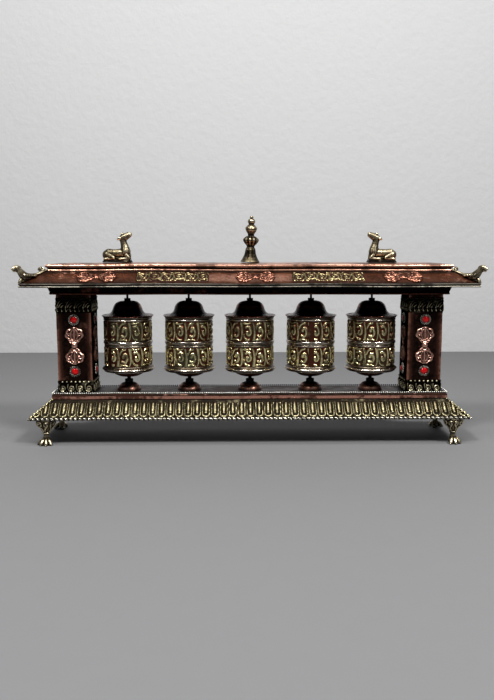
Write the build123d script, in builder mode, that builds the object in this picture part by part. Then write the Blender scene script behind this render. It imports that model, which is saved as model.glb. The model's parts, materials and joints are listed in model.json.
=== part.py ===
"""Table-top prayer wheel stand: five drums turning on fixed rods between a footed plinth and a hipped roof.

The frame has +X along the stand, -Y towards the viewer and +Z up. Its origin is the middle of the stand at
the level the four feet rest on. All sizes are millimetres.
"""

import os
from math import cos, hypot, radians, sin

from build123d import *

# Sheet, rods and running gaps
SHEET = 1.0
TOUCH_GAP = 0.02
ROD_R = 1.0
ROD_HOLE_R = 1.05
TUBE_BORE_R = 1.05
NUT_FLATS = 4.0
NUT_H = 1.6
NUT_BORE_R = 1.02
STUD_END = 2.2

# The three copper trays (deck, soffit, roof cap) share one plan
TRAY_X = 180.0
TRAY_Y = 19.5
NOSE_R = 2.4

# Base
SKIRT_Z = 24.0
SKIRT_X = 197.3
SKIRT_Y = 37.3
SKIRT_SHEET = 1.2
ROPE_D = 3.0
ROPE_PROUD = 1.1
DECK_Z = 38.0
DECK_TOP = 44.4
BEAD_W = 1.7
BEAD_INSET = 0.4
PLATE_GAP = 1.8

# Feet
FOOT_X = 183.5
FOOT_Y = 30.0
FOOT_TOP_R = 7.2
ANKLE_R = 3.1
ANKLE_Z = 11.5
PAW_R = 6.2
TOE_R = 2.5
TOE_Z = 1.9
TOE_REACH = 5.6
TOE_ANGLES = (-51, -17, 17, 51)
PAW_TURN = 35

# Pillars
PILLAR_X = 159.0
PILLAR_W = 31.0
BAND_T = 1.6
PLINTH_BAND = (DECK_TOP, 56.4)
CAPITAL_BAND = (117.6, 131.2)
DORJE_L = 34.4
DORJE_W = 17.0
DORJE_T = 1.3
PILLAR_DORJE_Z = 87.6
BEZEL_ZS = (64.2, 111.4)
BEZEL_R = 4.9
BEZEL_H = 1.5
BEZEL_FLOOR = 0.4
STONE_R = 3.3
STONE_H = 2.0

# Roof
SOFFIT_Z = 134.0
EAVE_Z = 141.3
EAVE_X = 200.0
EAVE_Y = 38.0
FASCIA_TOP = 145.0
STRIP_T = 1.2
SLOPE_TOP = 155.0
CAP_NOSE_Z = 158.2
CAP_TOP = 161.0
CAP_PROUD = 1.5
CROWN = 1.5
ROOF_DORJE_XS = (-135.0, 4.5, 134.5)
RELIEF_XS = (-68.5, 68.5)
RELIEF_L = 64.0
RELIEF_W = 16.0
RELIEF_T = 0.8

# Ornaments on the roof
FINIAL_H = 42.0
DEER_X = 121.0
DEER_L = 26.0
DEER_W = 11.0
DEER_PLINTH_H = 2.4

# Wheels
WHEEL_COUNT = 5
WHEEL_PITCH = 56.3
DRUM_R = 21.1
DRUM_SHEET = 0.8
DRUM_Z = (63.6, 113.5)
LIP_R = 23.8
LIP_Z = (108.6, 114.5)
MID_R = 22.6
MID_Z = (85.2, 94.2)
FOOT_RING_R = 23.5
FOOT_RING_Z = (63.0, 69.9)
RELIEF_BANDS = ((70.4, 84.7), (94.7, 108.1))
BAND_R = 22.1
CAP_BRIM_R = 18.8
CAP_DOME_R = 13.0
CAP_DOME_TOP = 127.4
DISH_R = 14.2
DISH_Z = 57.2
TUBE_R = 1.7
TUBE_Z = (54.95, 129.8)
TUBE_COLLAR_R = 2.9
TUBE_COLLAR_Z = 127.6
SCROLL_R = 19.2
SCROLL_Z = (65.0, 112.0)
BOSS_R = 10.4
BOSS_TOP_R = 4.2
BOSS_H = 6.9
BOSS_SHOULDER = (8.4, 4.4)
COLLAR_R = 3.8
COLLAR_TOP = 54.9

WHEEL_XS = [(i - (WHEEL_COUNT - 1) / 2) * WHEEL_PITCH for i in range(WHEEL_COUNT)]
CROWN_TOP = CAP_TOP + CROWN
BASE_ALIGN = (Align.CENTER, Align.CENTER, Align.MIN)


def save(part, name):
    """Labels one finished piece and writes its STEP file."""
    part.label = name
    export_step(part, f"parts/{name}.step")


def frustum(low, high, low_z, high_z, mode=Mode.ADD):
    """Lofts between two centred rectangles given as (half X, half Y). Used inside a part block."""
    with BuildSketch(Plane.XY.offset(low_z)) as bottom:
        Rectangle(2 * low[0], 2 * low[1])
    with BuildSketch(Plane.XY.offset(high_z)) as top:
        Rectangle(2 * high[0], 2 * high[1])
    loft([bottom.sketch, top.sketch], mode=mode)


def shrink(half, by):
    return (half[0] - by, half[1] - by)


def square_ring(outer, inner, low_z, high_z):
    """A rectangular ring between two centred rectangles. Used inside a part block."""
    with BuildSketch(Plane.XY.offset(low_z)) as ring:
        Rectangle(2 * outer[0], 2 * outer[1])
        Rectangle(2 * inner[0], 2 * inner[1], mode=Mode.SUBTRACT)
    extrude(ring.sketch, amount=high_z - low_z)


# ---------------------------------------------------------------- base


def base_bottom_plate():
    """Flat copper plate that closes the plinth and carries the feet."""
    half = shrink((SKIRT_X, SKIRT_Y), SKIRT_SHEET + PLATE_GAP)
    with BuildPart() as plate:
        with Locations((0, 0, SKIRT_Z)):
            Box(2 * half[0], 2 * half[1], SHEET, align=BASE_ALIGN)
        with GridLocations(2 * FOOT_X, 2 * FOOT_Y, 2, 2):
            Hole(ROD_HOLE_R)
    return plate.part


def on_rectangle(edge, half):
    """True for an edge in the middle of a side of a centred rectangle, at any height."""
    middle = edge.center()
    return abs(abs(middle.X) - half[0]) < TOUCH_GAP or abs(abs(middle.Y) - half[1]) < TOUCH_GAP


def base_skirt():
    """Flared brass strip round the plinth, with its rolled rope edge at the bottom."""
    low, high = (SKIRT_X, SKIRT_Y), (TRAY_X, TRAY_Y)
    rope = shrink(low, -ROPE_PROUD)
    with BuildPart() as skirt:
        frustum(low, high, SKIRT_Z, DECK_Z)
        inner_low, inner_high = shrink(low, SKIRT_SHEET), shrink(high, SKIRT_SHEET)
        frustum(inner_low, inner_high, SKIRT_Z, DECK_Z, mode=Mode.SUBTRACT)
        square_ring(rope, shrink(rope, ROPE_PROUD + SKIRT_SHEET / 2), SKIRT_Z, SKIRT_Z + ROPE_D)
        level_edges = skirt.edges().filter_by(Axis.Z, reverse=True)
        fillet([edge for edge in level_edges if on_rectangle(edge, rope)], ROPE_PROUD * 0.8)
    return skirt.part


def base_deck():
    """Copper tray, open below, that the pillars and the wheel bosses stand on."""
    with BuildPart() as deck:
        with Locations((0, 0, DECK_Z)):
            Box(2 * TRAY_X, 2 * TRAY_Y, DECK_TOP - DECK_Z, align=BASE_ALIGN)
        offset(amount=-SHEET, openings=deck.faces().sort_by(Axis.Z)[0])
        fillet(deck.edges().group_by(Axis.Z)[-1], SHEET * 0.8)
        with Locations(*[(x, 0, DECK_TOP) for x in WHEEL_XS]):
            Hole(ROD_HOLE_R)
    return deck.part


def deck_beading():
    """Beaded wire soldered along the top edge of the deck."""
    outer = shrink((TRAY_X, TRAY_Y), BEAD_INSET)
    with BuildPart() as beading:
        square_ring(outer, shrink(outer, BEAD_W), DECK_TOP, DECK_TOP + BEAD_W)
        fillet(beading.edges().group_by(Axis.Z)[-1], BEAD_W * 0.4)
    return beading.part


def lion_feet():
    """Four cast paw feet, each with a threaded stud up through the bottom plate."""
    profile = [
        (PAW_R - 0.9, -TOE_R),
        (PAW_R, 1.6),
        (PAW_R - 1.6, 5.2),
        (ANKLE_R + 0.2, 8.6),
        (ANKLE_R, ANKLE_Z),
        (ANKLE_R + 0.9, ANKLE_Z + 1.6),
        (ANKLE_R + 1.8, ANKLE_Z + 4.6),
        (FOOT_TOP_R - 0.4, ANKLE_Z + 9.0),
        (FOOT_TOP_R, SKIRT_Z - 1.4),
        (FOOT_TOP_R, SKIRT_Z),
    ]
    with BuildPart() as feet:
        with BuildSketch(Plane.XZ.offset(-FOOT_Y)):
            with BuildLine():
                outline = [(0, -TOE_R)] + profile + [(0, SKIRT_Z)]
                Polyline(*[(FOOT_X + r, z) for r, z in outline], close=True)
            make_face()
        revolve(axis=Axis((FOOT_X, FOOT_Y, 0), (0, 0, 1)))
        for angle in TOE_ANGLES:
            turn = radians(angle + PAW_TURN)
            with Locations((FOOT_X + TOE_REACH * sin(turn), FOOT_Y + TOE_REACH * cos(turn), TOE_Z)):
                Sphere(TOE_R)
        split(bisect_by=Plane.XY)
        with Locations((FOOT_X, FOOT_Y, SKIRT_Z)):
            Cylinder(ROD_R, STUD_END + SHEET, align=BASE_ALIGN)
        mirror(about=Plane.XZ)
        mirror(about=Plane.YZ)
    return feet.part


def hex_nuts():
    """Identical nuts on both ends of every rod, on the foot studs and on the finial's stud."""
    under_deck = [(x, 0, DECK_TOP - SHEET - NUT_H) for x in WHEEL_XS]
    on_soffit = [(x, 0, SOFFIT_Z + SHEET) for x in WHEEL_XS]
    on_plate = [(x, y, SKIRT_Z + SHEET) for x in (-FOOT_X, FOOT_X) for y in (-FOOT_Y, FOOT_Y)]
    under_cap = [(0, 0, CAP_TOP - SHEET - NUT_H)]
    with BuildPart() as nuts:
        for place in under_deck + on_soffit + on_plate + under_cap:
            with BuildSketch(Plane(origin=place)):
                RegularPolygon(NUT_FLATS / 2, 6, major_radius=False)
                Circle(NUT_BORE_R, mode=Mode.SUBTRACT)
            extrude(amount=NUT_H)
    return nuts.part


# ---------------------------------------------------------------- pillars


def pillar_faces(z):
    """The planes that lie on the four faces of each pillar at height z, local Y up."""
    planes = []
    for x in (-PILLAR_X, PILLAR_X):
        for angle in (0, 90, 180, 270):
            out = (cos(radians(angle)), sin(radians(angle)), 0)
            origin = (x + out[0] * PILLAR_W / 2, out[1] * PILLAR_W / 2, z)
            planes.append(Plane(origin=origin, x_dir=(-out[1], out[0], 0), z_dir=out))
    return planes


def pillar(x):
    """Square copper column, open at both ends."""
    with BuildPart() as column:
        with BuildSketch(Plane(origin=(x, 0, DECK_TOP))):
            Rectangle(PILLAR_W, PILLAR_W)
            Rectangle(PILLAR_W - 2 * SHEET, PILLAR_W - 2 * SHEET, mode=Mode.SUBTRACT)
        extrude(amount=SOFFIT_Z - DECK_TOP)
    return column.part


def pillar_bands():
    """Embossed brass bands round the foot and the head of each pillar."""
    inner = PILLAR_W + 2 * TOUCH_GAP
    outer = PILLAR_W + 2 * BAND_T
    with BuildPart() as bands:
        for x in (-PILLAR_X, PILLAR_X):
            for low, high in (PLINTH_BAND, CAPITAL_BAND):
                with BuildSketch(Plane(origin=(x, 0, low))):
                    Rectangle(outer, outer)
                    Rectangle(inner, inner, mode=Mode.SUBTRACT)
                extrude(amount=high - low)
    return bands.part


def dorje_outline(vertical):
    """Double-ended thunderbolt silhouette, in the sketch plane that is open."""
    turn = 90 if vertical else 0
    with Locations(Location((0, 0, 0), (0, 0, turn))):
        Circle(DORJE_W * 0.17)
        Rectangle(DORJE_L * 0.5, DORJE_W * 0.24)
        for side in (-1, 1):
            with Locations((side * DORJE_L * 0.31, 0)):
                Ellipse(DORJE_L * 0.19, DORJE_W * 0.5)
            with Locations((side * DORJE_L * 0.2, 0)):
                Circle(DORJE_W * 0.3)


def pillar_dorjes():
    """One stamped copper thunderbolt on every face of both pillars."""
    with BuildPart() as dorjes:
        for face in pillar_faces(PILLAR_DORJE_Z):
            with BuildSketch(face):
                dorje_outline(vertical=True)
            extrude(amount=DORJE_T)
    return dorjes.part


def stone_bezels():
    """Cups that hold the stones, above and below every thunderbolt."""
    with BuildPart() as bezels:
        for z in BEZEL_ZS:
            for face in pillar_faces(z):
                with BuildSketch(face):
                    Circle(BEZEL_R)
                extrude(amount=BEZEL_H)
                with BuildSketch(face.offset(BEZEL_FLOOR)):
                    Circle(STONE_R + TOUCH_GAP)
                extrude(amount=BEZEL_H, mode=Mode.SUBTRACT)
    return bezels.part


def coral_stones():
    """Domed red stones, one in each bezel."""
    with BuildPart() as stones:
        for z in BEZEL_ZS:
            for face in pillar_faces(z):
                with BuildSketch(face.offset(BEZEL_FLOOR)):
                    Circle(STONE_R)
                extrude(amount=STONE_H)
                rim = stones.edges(Select.LAST).filter_by(GeomType.CIRCLE)
                top = rim.sort_by(Axis(face.origin, face.z_dir))[-1]
                fillet(top, STONE_H * 0.7)
    return stones.part


# ---------------------------------------------------------------- roof


def roof_soffit():
    """Copper tray under the eaves with its wide flange, which carries the upper ends of the rods."""
    flange = shrink((EAVE_X, EAVE_Y), SHEET + TOUCH_GAP)
    with BuildPart() as soffit:
        with Locations((0, 0, SOFFIT_Z)):
            Box(2 * TRAY_X, 2 * TRAY_Y, EAVE_Z - SOFFIT_Z, align=BASE_ALIGN)
        fillet(soffit.edges().group_by(Axis.Z)[0], NOSE_R * 0.35)
        with Locations((0, 0, EAVE_Z)):
            Box(2 * flange[0], 2 * flange[1], SHEET, align=BASE_ALIGN)
        with Locations((0, 0, SOFFIT_Z + SHEET)):
            hollow = shrink((TRAY_X, TRAY_Y), SHEET)
            depth = EAVE_Z - SOFFIT_Z
            Box(2 * hollow[0], 2 * hollow[1], depth, align=BASE_ALIGN, mode=Mode.SUBTRACT)
        with Locations(*[(x, 0, SOFFIT_Z + SHEET) for x in WHEEL_XS]):
            Hole(ROD_HOLE_R)
    return soffit.part


def roof_shell():
    """Hipped copper roof sheet: an upright fascia below and four slopes above."""
    low, high = (EAVE_X, EAVE_Y), (TRAY_X + SHEET, TRAY_Y + SHEET)
    with BuildPart() as shell:
        with Locations((0, 0, EAVE_Z)):
            Box(2 * low[0], 2 * low[1], FASCIA_TOP - EAVE_Z, align=BASE_ALIGN)
        frustum(low, high, FASCIA_TOP, SLOPE_TOP)
        with Locations((0, 0, EAVE_Z)):
            inner_low = shrink(low, SHEET)
            Box(2 * inner_low[0], 2 * inner_low[1], FASCIA_TOP - EAVE_Z, align=BASE_ALIGN, mode=Mode.SUBTRACT)
        frustum(shrink(low, SHEET), shrink(high, SHEET), FASCIA_TOP, SLOPE_TOP, mode=Mode.SUBTRACT)
    return shell.part


def eave_strip():
    """White-metal strip round the fascia."""
    outer = shrink((EAVE_X, EAVE_Y), -STRIP_T)
    inner = shrink((EAVE_X, EAVE_Y), -TOUCH_GAP)
    with BuildPart() as strip:
        square_ring(outer, inner, EAVE_Z, FASCIA_TOP)
        corner_edges = strip.edges().group_by(Axis.Z)[-1].sort_by(SortBy.LENGTH)[-2:]
        fillet(corner_edges, STRIP_T * 0.4)
    return strip.part


def roof_cap():
    """Copper lid of the roof: a cove, a rounded nose and a low crown, hollow from below."""
    cove = (TRAY_X + SHEET, TRAY_Y + SHEET)
    nose = shrink(cove, -CAP_PROUD + SHEET)
    rise = CAP_TOP - CAP_NOSE_Z
    with BuildPart() as cap:
        with Locations((0, 0, CAP_NOSE_Z)):
            Box(2 * nose[0], 2 * nose[1], rise, align=BASE_ALIGN)
        fillet(cap.edges().filter_by(Axis.Z, reverse=True), rise * 0.42)
        with Locations((0, 0, SLOPE_TOP)):
            Box(2 * cove[0], 2 * cove[1], rise / 2 + CAP_NOSE_Z - SLOPE_TOP, align=BASE_ALIGN)
        crown_y = TRAY_Y - NOSE_R
        with BuildSketch(Plane.YZ.offset(-TRAY_X + NOSE_R)):
            with BuildLine():
                ThreePointArc((-crown_y, CAP_TOP), (0, CROWN_TOP), (crown_y, CAP_TOP))
                Line((crown_y, CAP_TOP), (-crown_y, CAP_TOP))
            make_face()
        extrude(amount=2 * (TRAY_X - NOSE_R))
        with Locations((0, 0, SLOPE_TOP)):
            hollow = shrink((TRAY_X, TRAY_Y), SHEET)
            depth = CAP_TOP - SHEET - SLOPE_TOP
            Box(2 * hollow[0], 2 * hollow[1], depth, align=BASE_ALIGN, mode=Mode.SUBTRACT)
        with Locations((0, 0, CROWN_TOP)):
            Hole(ROD_HOLE_R)
    return cap.part


def slope_plane(side, along=0.0):
    """Plane on the middle of the roof slope that faces side, a unit (X, Y). Local Y runs upslope."""
    low = EAVE_X if side[0] else EAVE_Y
    high = (TRAY_X if side[0] else TRAY_Y) + SHEET
    rise, run = SLOPE_TOP - FASCIA_TOP, low - high
    length = hypot(rise, run)
    out = Vector(side[0], side[1], 0)
    across = Vector(-side[1], side[0], 0)
    middle = out * ((low + high) / 2) + across * along + Vector(0, 0, (SLOPE_TOP + FASCIA_TOP) / 2)
    normal = out * (rise / length) + Vector(0, 0, run / length)
    return Plane(origin=middle, x_dir=across, z_dir=normal).offset(TOUCH_GAP)


def roof_plaques():
    """Stamped copper thunderbolts: three on each long slope and one on each end."""
    places = [slope_plane((0, side), x) for side in (-1, 1) for x in ROOF_DORJE_XS]
    places += [slope_plane((side, 0)) for side in (-1, 1)]
    with BuildPart() as plaques:
        for place in places:
            with BuildSketch(place):
                dorje_outline(vertical=False)
            extrude(amount=DORJE_T)
    return plaques.part


def roof_relief_strips():
    """Brass relief strips between the thunderbolts of each long slope."""
    with BuildPart() as strips:
        for side in (-1, 1):
            for x in RELIEF_XS:
                with BuildSketch(slope_plane((0, side), x)):
                    RectangleRounded(RELIEF_L, RELIEF_W, RELIEF_T * 2)
                extrude(amount=RELIEF_T)
    return strips.part


def finial():
    """Turned brass finial, with a threaded stud down through the roof cap."""
    heights_radii = [
        (0.0, 8.6),
        (1.4, 8.2),
        (5.0, 5.2),
        (9.5, 4.7),
        (11.0, 4.9),
        (13.5, 3.4),
        (14.8, 3.3),
        (20.2, 7.6),
        (23.6, 4.0),
        (25.6, 2.9),
        (31.2, 5.5),
        (34.0, 3.0),
        (35.2, 2.3),
        (38.2, 3.7),
        (40.2, 1.8),
        (FINIAL_H, 0.5),
    ]
    with BuildPart() as turned:
        with BuildSketch(Plane.XZ):
            with BuildLine():
                side = Polyline(*[(r, CROWN_TOP + h) for h, r in heights_radii])
                Polyline(side @ 1, (0, CROWN_TOP + FINIAL_H), (0, CROWN_TOP), side @ 0)
            make_face()
        revolve(axis=Axis.Z)
        with Locations((0, 0, CROWN_TOP)):
            Cylinder(ROD_R, CROWN + SHEET + STUD_END, align=(Align.CENTER, Align.CENTER, Align.MAX))
    return turned.part


def section_loft(sections):
    """Lofts ellipses of (centre, direction, half width in Y, half height). Used inside a part block."""
    outlines = []
    for centre, direction, half_y, half_up in sections:
        with BuildSketch(Plane(origin=centre, x_dir=(0, 1, 0), z_dir=direction)) as outline:
            Ellipse(half_y, half_up)
        outlines.append(outline.sketch)
    loft(outlines)


def deer(x, facing):
    """Recumbent deer on a small plinth, head raised; facing is +1 or -1 along X."""
    plinth_top = CROWN_TOP + DEER_PLINTH_H

    def at(along, up):
        return (x + facing * along, 0, plinth_top + up)

    ahead = (facing, 0, 0)
    with BuildPart() as animal:
        with Locations((x, 0, CROWN_TOP)):
            Box(DEER_L, DEER_W, DEER_PLINTH_H, align=BASE_ALIGN)
        section_loft(
            [
                (at(-12.6, 4.6), ahead, 2.4, 2.6),
                (at(-9.0, 5.2), ahead, 4.6, 5.2),
                (at(-2.0, 4.7), ahead, 4.2, 4.7),
                (at(6.0, 5.3), ahead, 4.4, 5.4),
                (at(11.4, 4.4), ahead, 3.0, 3.6),
            ]
        )
        section_loft(
            [
                (at(7.0, 5.0), (facing * 0.1, 0, 1), 4.0, 4.2),
                (at(7.4, 11.0), (facing * 0.02, 0, 1), 2.6, 2.7),
                (at(7.2, 17.0), (0, 0, 1), 1.9, 2.0),
                (at(7.2, 20.6), (0, 0, 1), 1.7, 1.9),
            ]
        )
        section_loft(
            [
                (at(5.0, 17.6), (facing * 0.72, 0, 0.7), 1.4, 1.3),
                (at(7.0, 19.6), (facing * 0.72, 0, 0.7), 2.2, 2.2),
                (at(10.0, 22.4), (facing * 0.72, 0, 0.7), 1.7, 1.7),
                (at(13.0, 25.0), (facing * 0.72, 0, 0.7), 1.1, 1.1),
            ]
        )
        for side in (-1, 1):
            with Locations((x + facing * 4.0, side * 3.6, plinth_top)):
                Box(13.0, 2.6, 2.4, align=BASE_ALIGN)
            with Locations((x - facing * 7.0, side * 3.6, plinth_top)):
                Box(9.0, 2.6, 2.6, align=BASE_ALIGN)
    return animal.part


def corner_makaras():
    """Serpentine guardians lying along the four hips, heads raised over the eave corners."""
    hip = (EAVE_X - TRAY_X - SHEET, EAVE_Y - TRAY_Y - SHEET)
    run = hypot(*hip)
    slope = (FASCIA_TOP - SLOPE_TOP) / run
    reach_up_radius = [
        (1.0, 2.0, 1.3),
        (12.0, 2.1, 1.4),
        (17.0, 2.9, 2.4),
        (22.0, 3.8, 2.9),
        (25.2, 6.4, 2.4),
        (26.6, 9.4, 2.1),
        (28.6, 11.9, 2.7),
        (31.6, 12.7, 2.0),
        (33.3, 12.1, 1.2),
    ]
    spine = []
    for reach, up, _ in reach_up_radius:
        x = TRAY_X + SHEET + hip[0] * reach / run
        y = TRAY_Y + SHEET + hip[1] * reach / run
        spine.append(Vector(x, y, SLOPE_TOP + slope * min(reach, run) + up))
    directions = [b - a for a, b in zip([spine[0]] + spine[:-1], spine[1:] + [spine[-1]])]
    with BuildPart() as makaras:
        for centre, direction, (_, _, radius) in zip(spine, directions, reach_up_radius):
            with BuildSketch(Plane(origin=centre, x_dir=(-hip[1], hip[0], 0), z_dir=direction)):
                Circle(radius)
        loft(ruled=True)
        mirror(about=Plane.XZ)
        mirror(about=Plane.YZ)
    return makaras.part


# ---------------------------------------------------------------- rods and their bosses


def axle_rods():
    """Fixed steel rods that the wheels turn on."""
    low = DECK_TOP - SHEET - STUD_END
    high = SOFFIT_Z + SHEET + STUD_END
    with BuildPart() as rods:
        with Locations(*[(x, 0, low) for x in WHEEL_XS]):
            Cylinder(ROD_R, high - low, align=BASE_ALIGN)
    return rods.part


def bearing_bosses():
    """Pressed copper domes on the deck, one under each wheel."""
    with BuildPart() as bosses:
        for x in WHEEL_XS:
            with BuildSketch(Plane.XZ):
                with BuildLine():
                    rim = (x + BOSS_R, DECK_TOP)
                    crown = (x + BOSS_TOP_R, DECK_TOP + BOSS_H)
                    ThreePointArc(rim, (x + BOSS_SHOULDER[0], DECK_TOP + BOSS_SHOULDER[1]), crown)
                    Polyline(crown, (x + ROD_HOLE_R, DECK_TOP + BOSS_H), (x + ROD_HOLE_R, DECK_TOP), rim)
                make_face()
            revolve(axis=Axis((x, 0, 0), (0, 0, 1)))
    return bosses.part


def thrust_collars():
    """Steel collars between each boss and the tube that runs on it."""
    with BuildPart() as collars:
        for x in WHEEL_XS:
            with BuildSketch(Plane(origin=(x, 0, DECK_TOP + BOSS_H))):
                Circle(COLLAR_R)
                Circle(ROD_HOLE_R, mode=Mode.SUBTRACT)
            extrude(amount=COLLAR_TOP - DECK_TOP - BOSS_H)
            fillet(collars.edges(Select.LAST).group_by(Axis.Z)[-1].sort_by(SortBy.LENGTH)[-1], 0.5)
    return collars.part


# ---------------------------------------------------------------- one wheel


def turned(x, outline):
    """Revolves an outline of (radius, height) points about a wheel's axis. Used inside a part block."""
    with BuildSketch(Plane.XZ) as half:
        with BuildLine():
            Polyline(*[(x + radius, z) for radius, z in outline], close=True)
        make_face()
    revolve(half.sketch, axis=Axis((x, 0, 0), (0, 0, 1)))


def wheel_drum(x):
    """Rolled copper drum, open at both ends."""
    low, high = DRUM_Z
    with BuildPart() as drum:
        with BuildSketch(Plane(origin=(x, 0, low))):
            Circle(DRUM_R)
            Circle(DRUM_R - DRUM_SHEET, mode=Mode.SUBTRACT)
        extrude(amount=high - low)
    return drum.part


def wheel_rings(x):
    """Three white-metal mouldings: flared lip, ribbed middle band and rolled foot ring."""
    seat = DRUM_R + TOUCH_GAP
    lip_low, lip_high = LIP_Z
    mid_low, mid_high = MID_Z
    foot_low, foot_high = FOOT_RING_Z
    with BuildPart() as rings:
        turned(
            x,
            [
                (seat, lip_low),
                (seat + 0.9, lip_low + 0.4),
                (seat + 0.6, lip_low + 1.8),
                (LIP_R, lip_high - 0.6),
                (LIP_R, lip_high),
                (seat + 0.5, lip_high - 0.8),
                (seat, lip_high - 1.0),
            ],
        )
        rib = (mid_high - mid_low) / 3
        turned(
            x,
            [
                (seat, mid_low),
                (MID_R - 0.4, mid_low + 0.3),
                (MID_R - 0.4, mid_low + rib),
                (MID_R - 0.7, mid_low + 1.4 * rib),
                (MID_R, mid_low + 1.8 * rib),
                (MID_R, mid_high - 0.9),
                (seat, mid_high),
            ],
        )
        turned(
            x,
            [
                (seat, foot_low),
                (FOOT_RING_R - 0.6, foot_low),
                (FOOT_RING_R, foot_low + 1.2),
                (FOOT_RING_R - 0.3, foot_low + 2.6),
                (seat + 0.8, foot_high - 2.2),
                (seat + 0.8, foot_high),
                (seat, foot_high),
            ],
        )
    return rings.part


def wheel_relief(x):
    """Two embossed brass bands round the drum."""
    with BuildPart() as bands:
        for low, high in RELIEF_BANDS:
            with BuildSketch(Plane(origin=(x, 0, low))):
                Circle(BAND_R)
                Circle(DRUM_R + TOUCH_GAP, mode=Mode.SUBTRACT)
            extrude(amount=high - low)
    return bands.part


def wheel_top_cap(x):
    """Stepped copper dome with a flat brim resting on the drum's top edge."""
    brim_z = DRUM_Z[1] + TOUCH_GAP
    wall = DRUM_SHEET
    outer = [
        (CAP_BRIM_R, brim_z + 1.2),
        (CAP_DOME_R + 2.4, brim_z + 2.4),
        (CAP_DOME_R + 0.6, brim_z + 4.4),
        (CAP_DOME_R, CAP_DOME_TOP - 5.6),
        (CAP_DOME_R - 1.2, CAP_DOME_TOP - 2.8),
        (CAP_DOME_R - 3.6, CAP_DOME_TOP - 0.9),
        (CAP_DOME_R - 7.0, CAP_DOME_TOP),
        (TUBE_R + TOUCH_GAP, CAP_DOME_TOP),
    ]
    inner = [(max(r - wall, TUBE_R + TOUCH_GAP), z - wall) for r, z in reversed(outer[1:])]
    with BuildPart() as cap:
        rim = [(DRUM_R, brim_z), (DRUM_R, brim_z + wall)]
        turned(x, rim + outer + inner + [(CAP_DOME_R + 1.4, brim_z)])
    return cap.part


def wheel_bottom_cap(x):
    """Shallow copper dish closing the drum from below."""
    rim_r = DRUM_R - DRUM_SHEET - TOUCH_GAP
    rim_z = DRUM_Z[0]
    wall = DRUM_SHEET
    with BuildPart() as cap:
        turned(
            x,
            [
                (rim_r, rim_z),
                (DISH_R, rim_z - 0.9),
                (DISH_R - 2.4, rim_z - 3.4),
                (DISH_R - 7.0, DISH_Z + 0.8),
                (TUBE_R + TOUCH_GAP, DISH_Z),
                (TUBE_R + TOUCH_GAP, DISH_Z + wall),
                (DISH_R - 7.2, DISH_Z + 0.8 + wall),
                (DISH_R - 3.1, rim_z - 3.4 + wall),
                (DISH_R - 0.6, rim_z - 0.9 + wall),
                (rim_r, rim_z + wall),
            ],
        )
    return cap.part


def wheel_tube(x):
    """Brass tube through the wheel, running on the rod, with a collar above the dome."""
    low, high = TUBE_Z
    with BuildPart() as tube:
        with Locations((x, 0, low)):
            Cylinder(TUBE_R, high - low, align=BASE_ALIGN)
        with Locations((x, 0, TUBE_COLLAR_Z)):
            Cylinder(TUBE_COLLAR_R, high - TUBE_COLLAR_Z, align=BASE_ALIGN)
        with Locations((x, 0, high)):
            Hole(TUBE_BORE_R)
    return tube.part


def wheel_scroll(x):
    """Paper prayer scroll wound round the tube."""
    low, high = SCROLL_Z
    with BuildPart() as scroll:
        with BuildSketch(Plane(origin=(x, 0, low))):
            Circle(SCROLL_R)
            Circle(TUBE_R + TOUCH_GAP, mode=Mode.SUBTRACT)
        extrude(amount=high - low)
    return scroll.part


FRAME_PIECES = {
    "base_bottom_plate": base_bottom_plate,
    "base_skirt": base_skirt,
    "base_deck": base_deck,
    "deck_beading": deck_beading,
    "lion_feet": lion_feet,
    "hex_nuts": hex_nuts,
    "pillar_left": lambda: pillar(-PILLAR_X),
    "pillar_right": lambda: pillar(PILLAR_X),
    "pillar_bands": pillar_bands,
    "pillar_dorjes": pillar_dorjes,
    "stone_bezels": stone_bezels,
    "coral_stones": coral_stones,
    "roof_soffit": roof_soffit,
    "roof_shell": roof_shell,
    "eave_strip": eave_strip,
    "roof_cap": roof_cap,
    "roof_plaques": roof_plaques,
    "roof_relief_strips": roof_relief_strips,
    "finial": finial,
    "deer_left": lambda: deer(-DEER_X, 1),
    "deer_right": lambda: deer(DEER_X, -1),
    "corner_makaras": corner_makaras,
    "axle_rods": axle_rods,
    "bearing_bosses": bearing_bosses,
    "thrust_collars": thrust_collars,
}

WHEEL_PIECES = {
    "drum": wheel_drum,
    "rings": wheel_rings,
    "relief": wheel_relief,
    "top_cap": wheel_top_cap,
    "bottom_cap": wheel_bottom_cap,
    "tube": wheel_tube,
    "scroll": wheel_scroll,
}

os.makedirs("parts", exist_ok=True)
for piece_name, make in FRAME_PIECES.items():
    save(make(), piece_name)
for number, wheel_x in enumerate(WHEEL_XS, start=1):
    for piece_name, make in WHEEL_PIECES.items():
        save(make(wheel_x), f"wheel_{number}_{piece_name}")
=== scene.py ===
"""Looks of the table-top prayer wheel stand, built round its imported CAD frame.

Mesh code works in millimetres in the frame's own axes, and make_piece() turns it into metres. Each mesh
carries a "relief" value per vertex, 0 in a recess and 1 on a crest, which the antiqued metals read.
"""

import json
import math

import bmesh
import bpy
import numpy as np
from mathutils import Matrix, Vector

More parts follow.
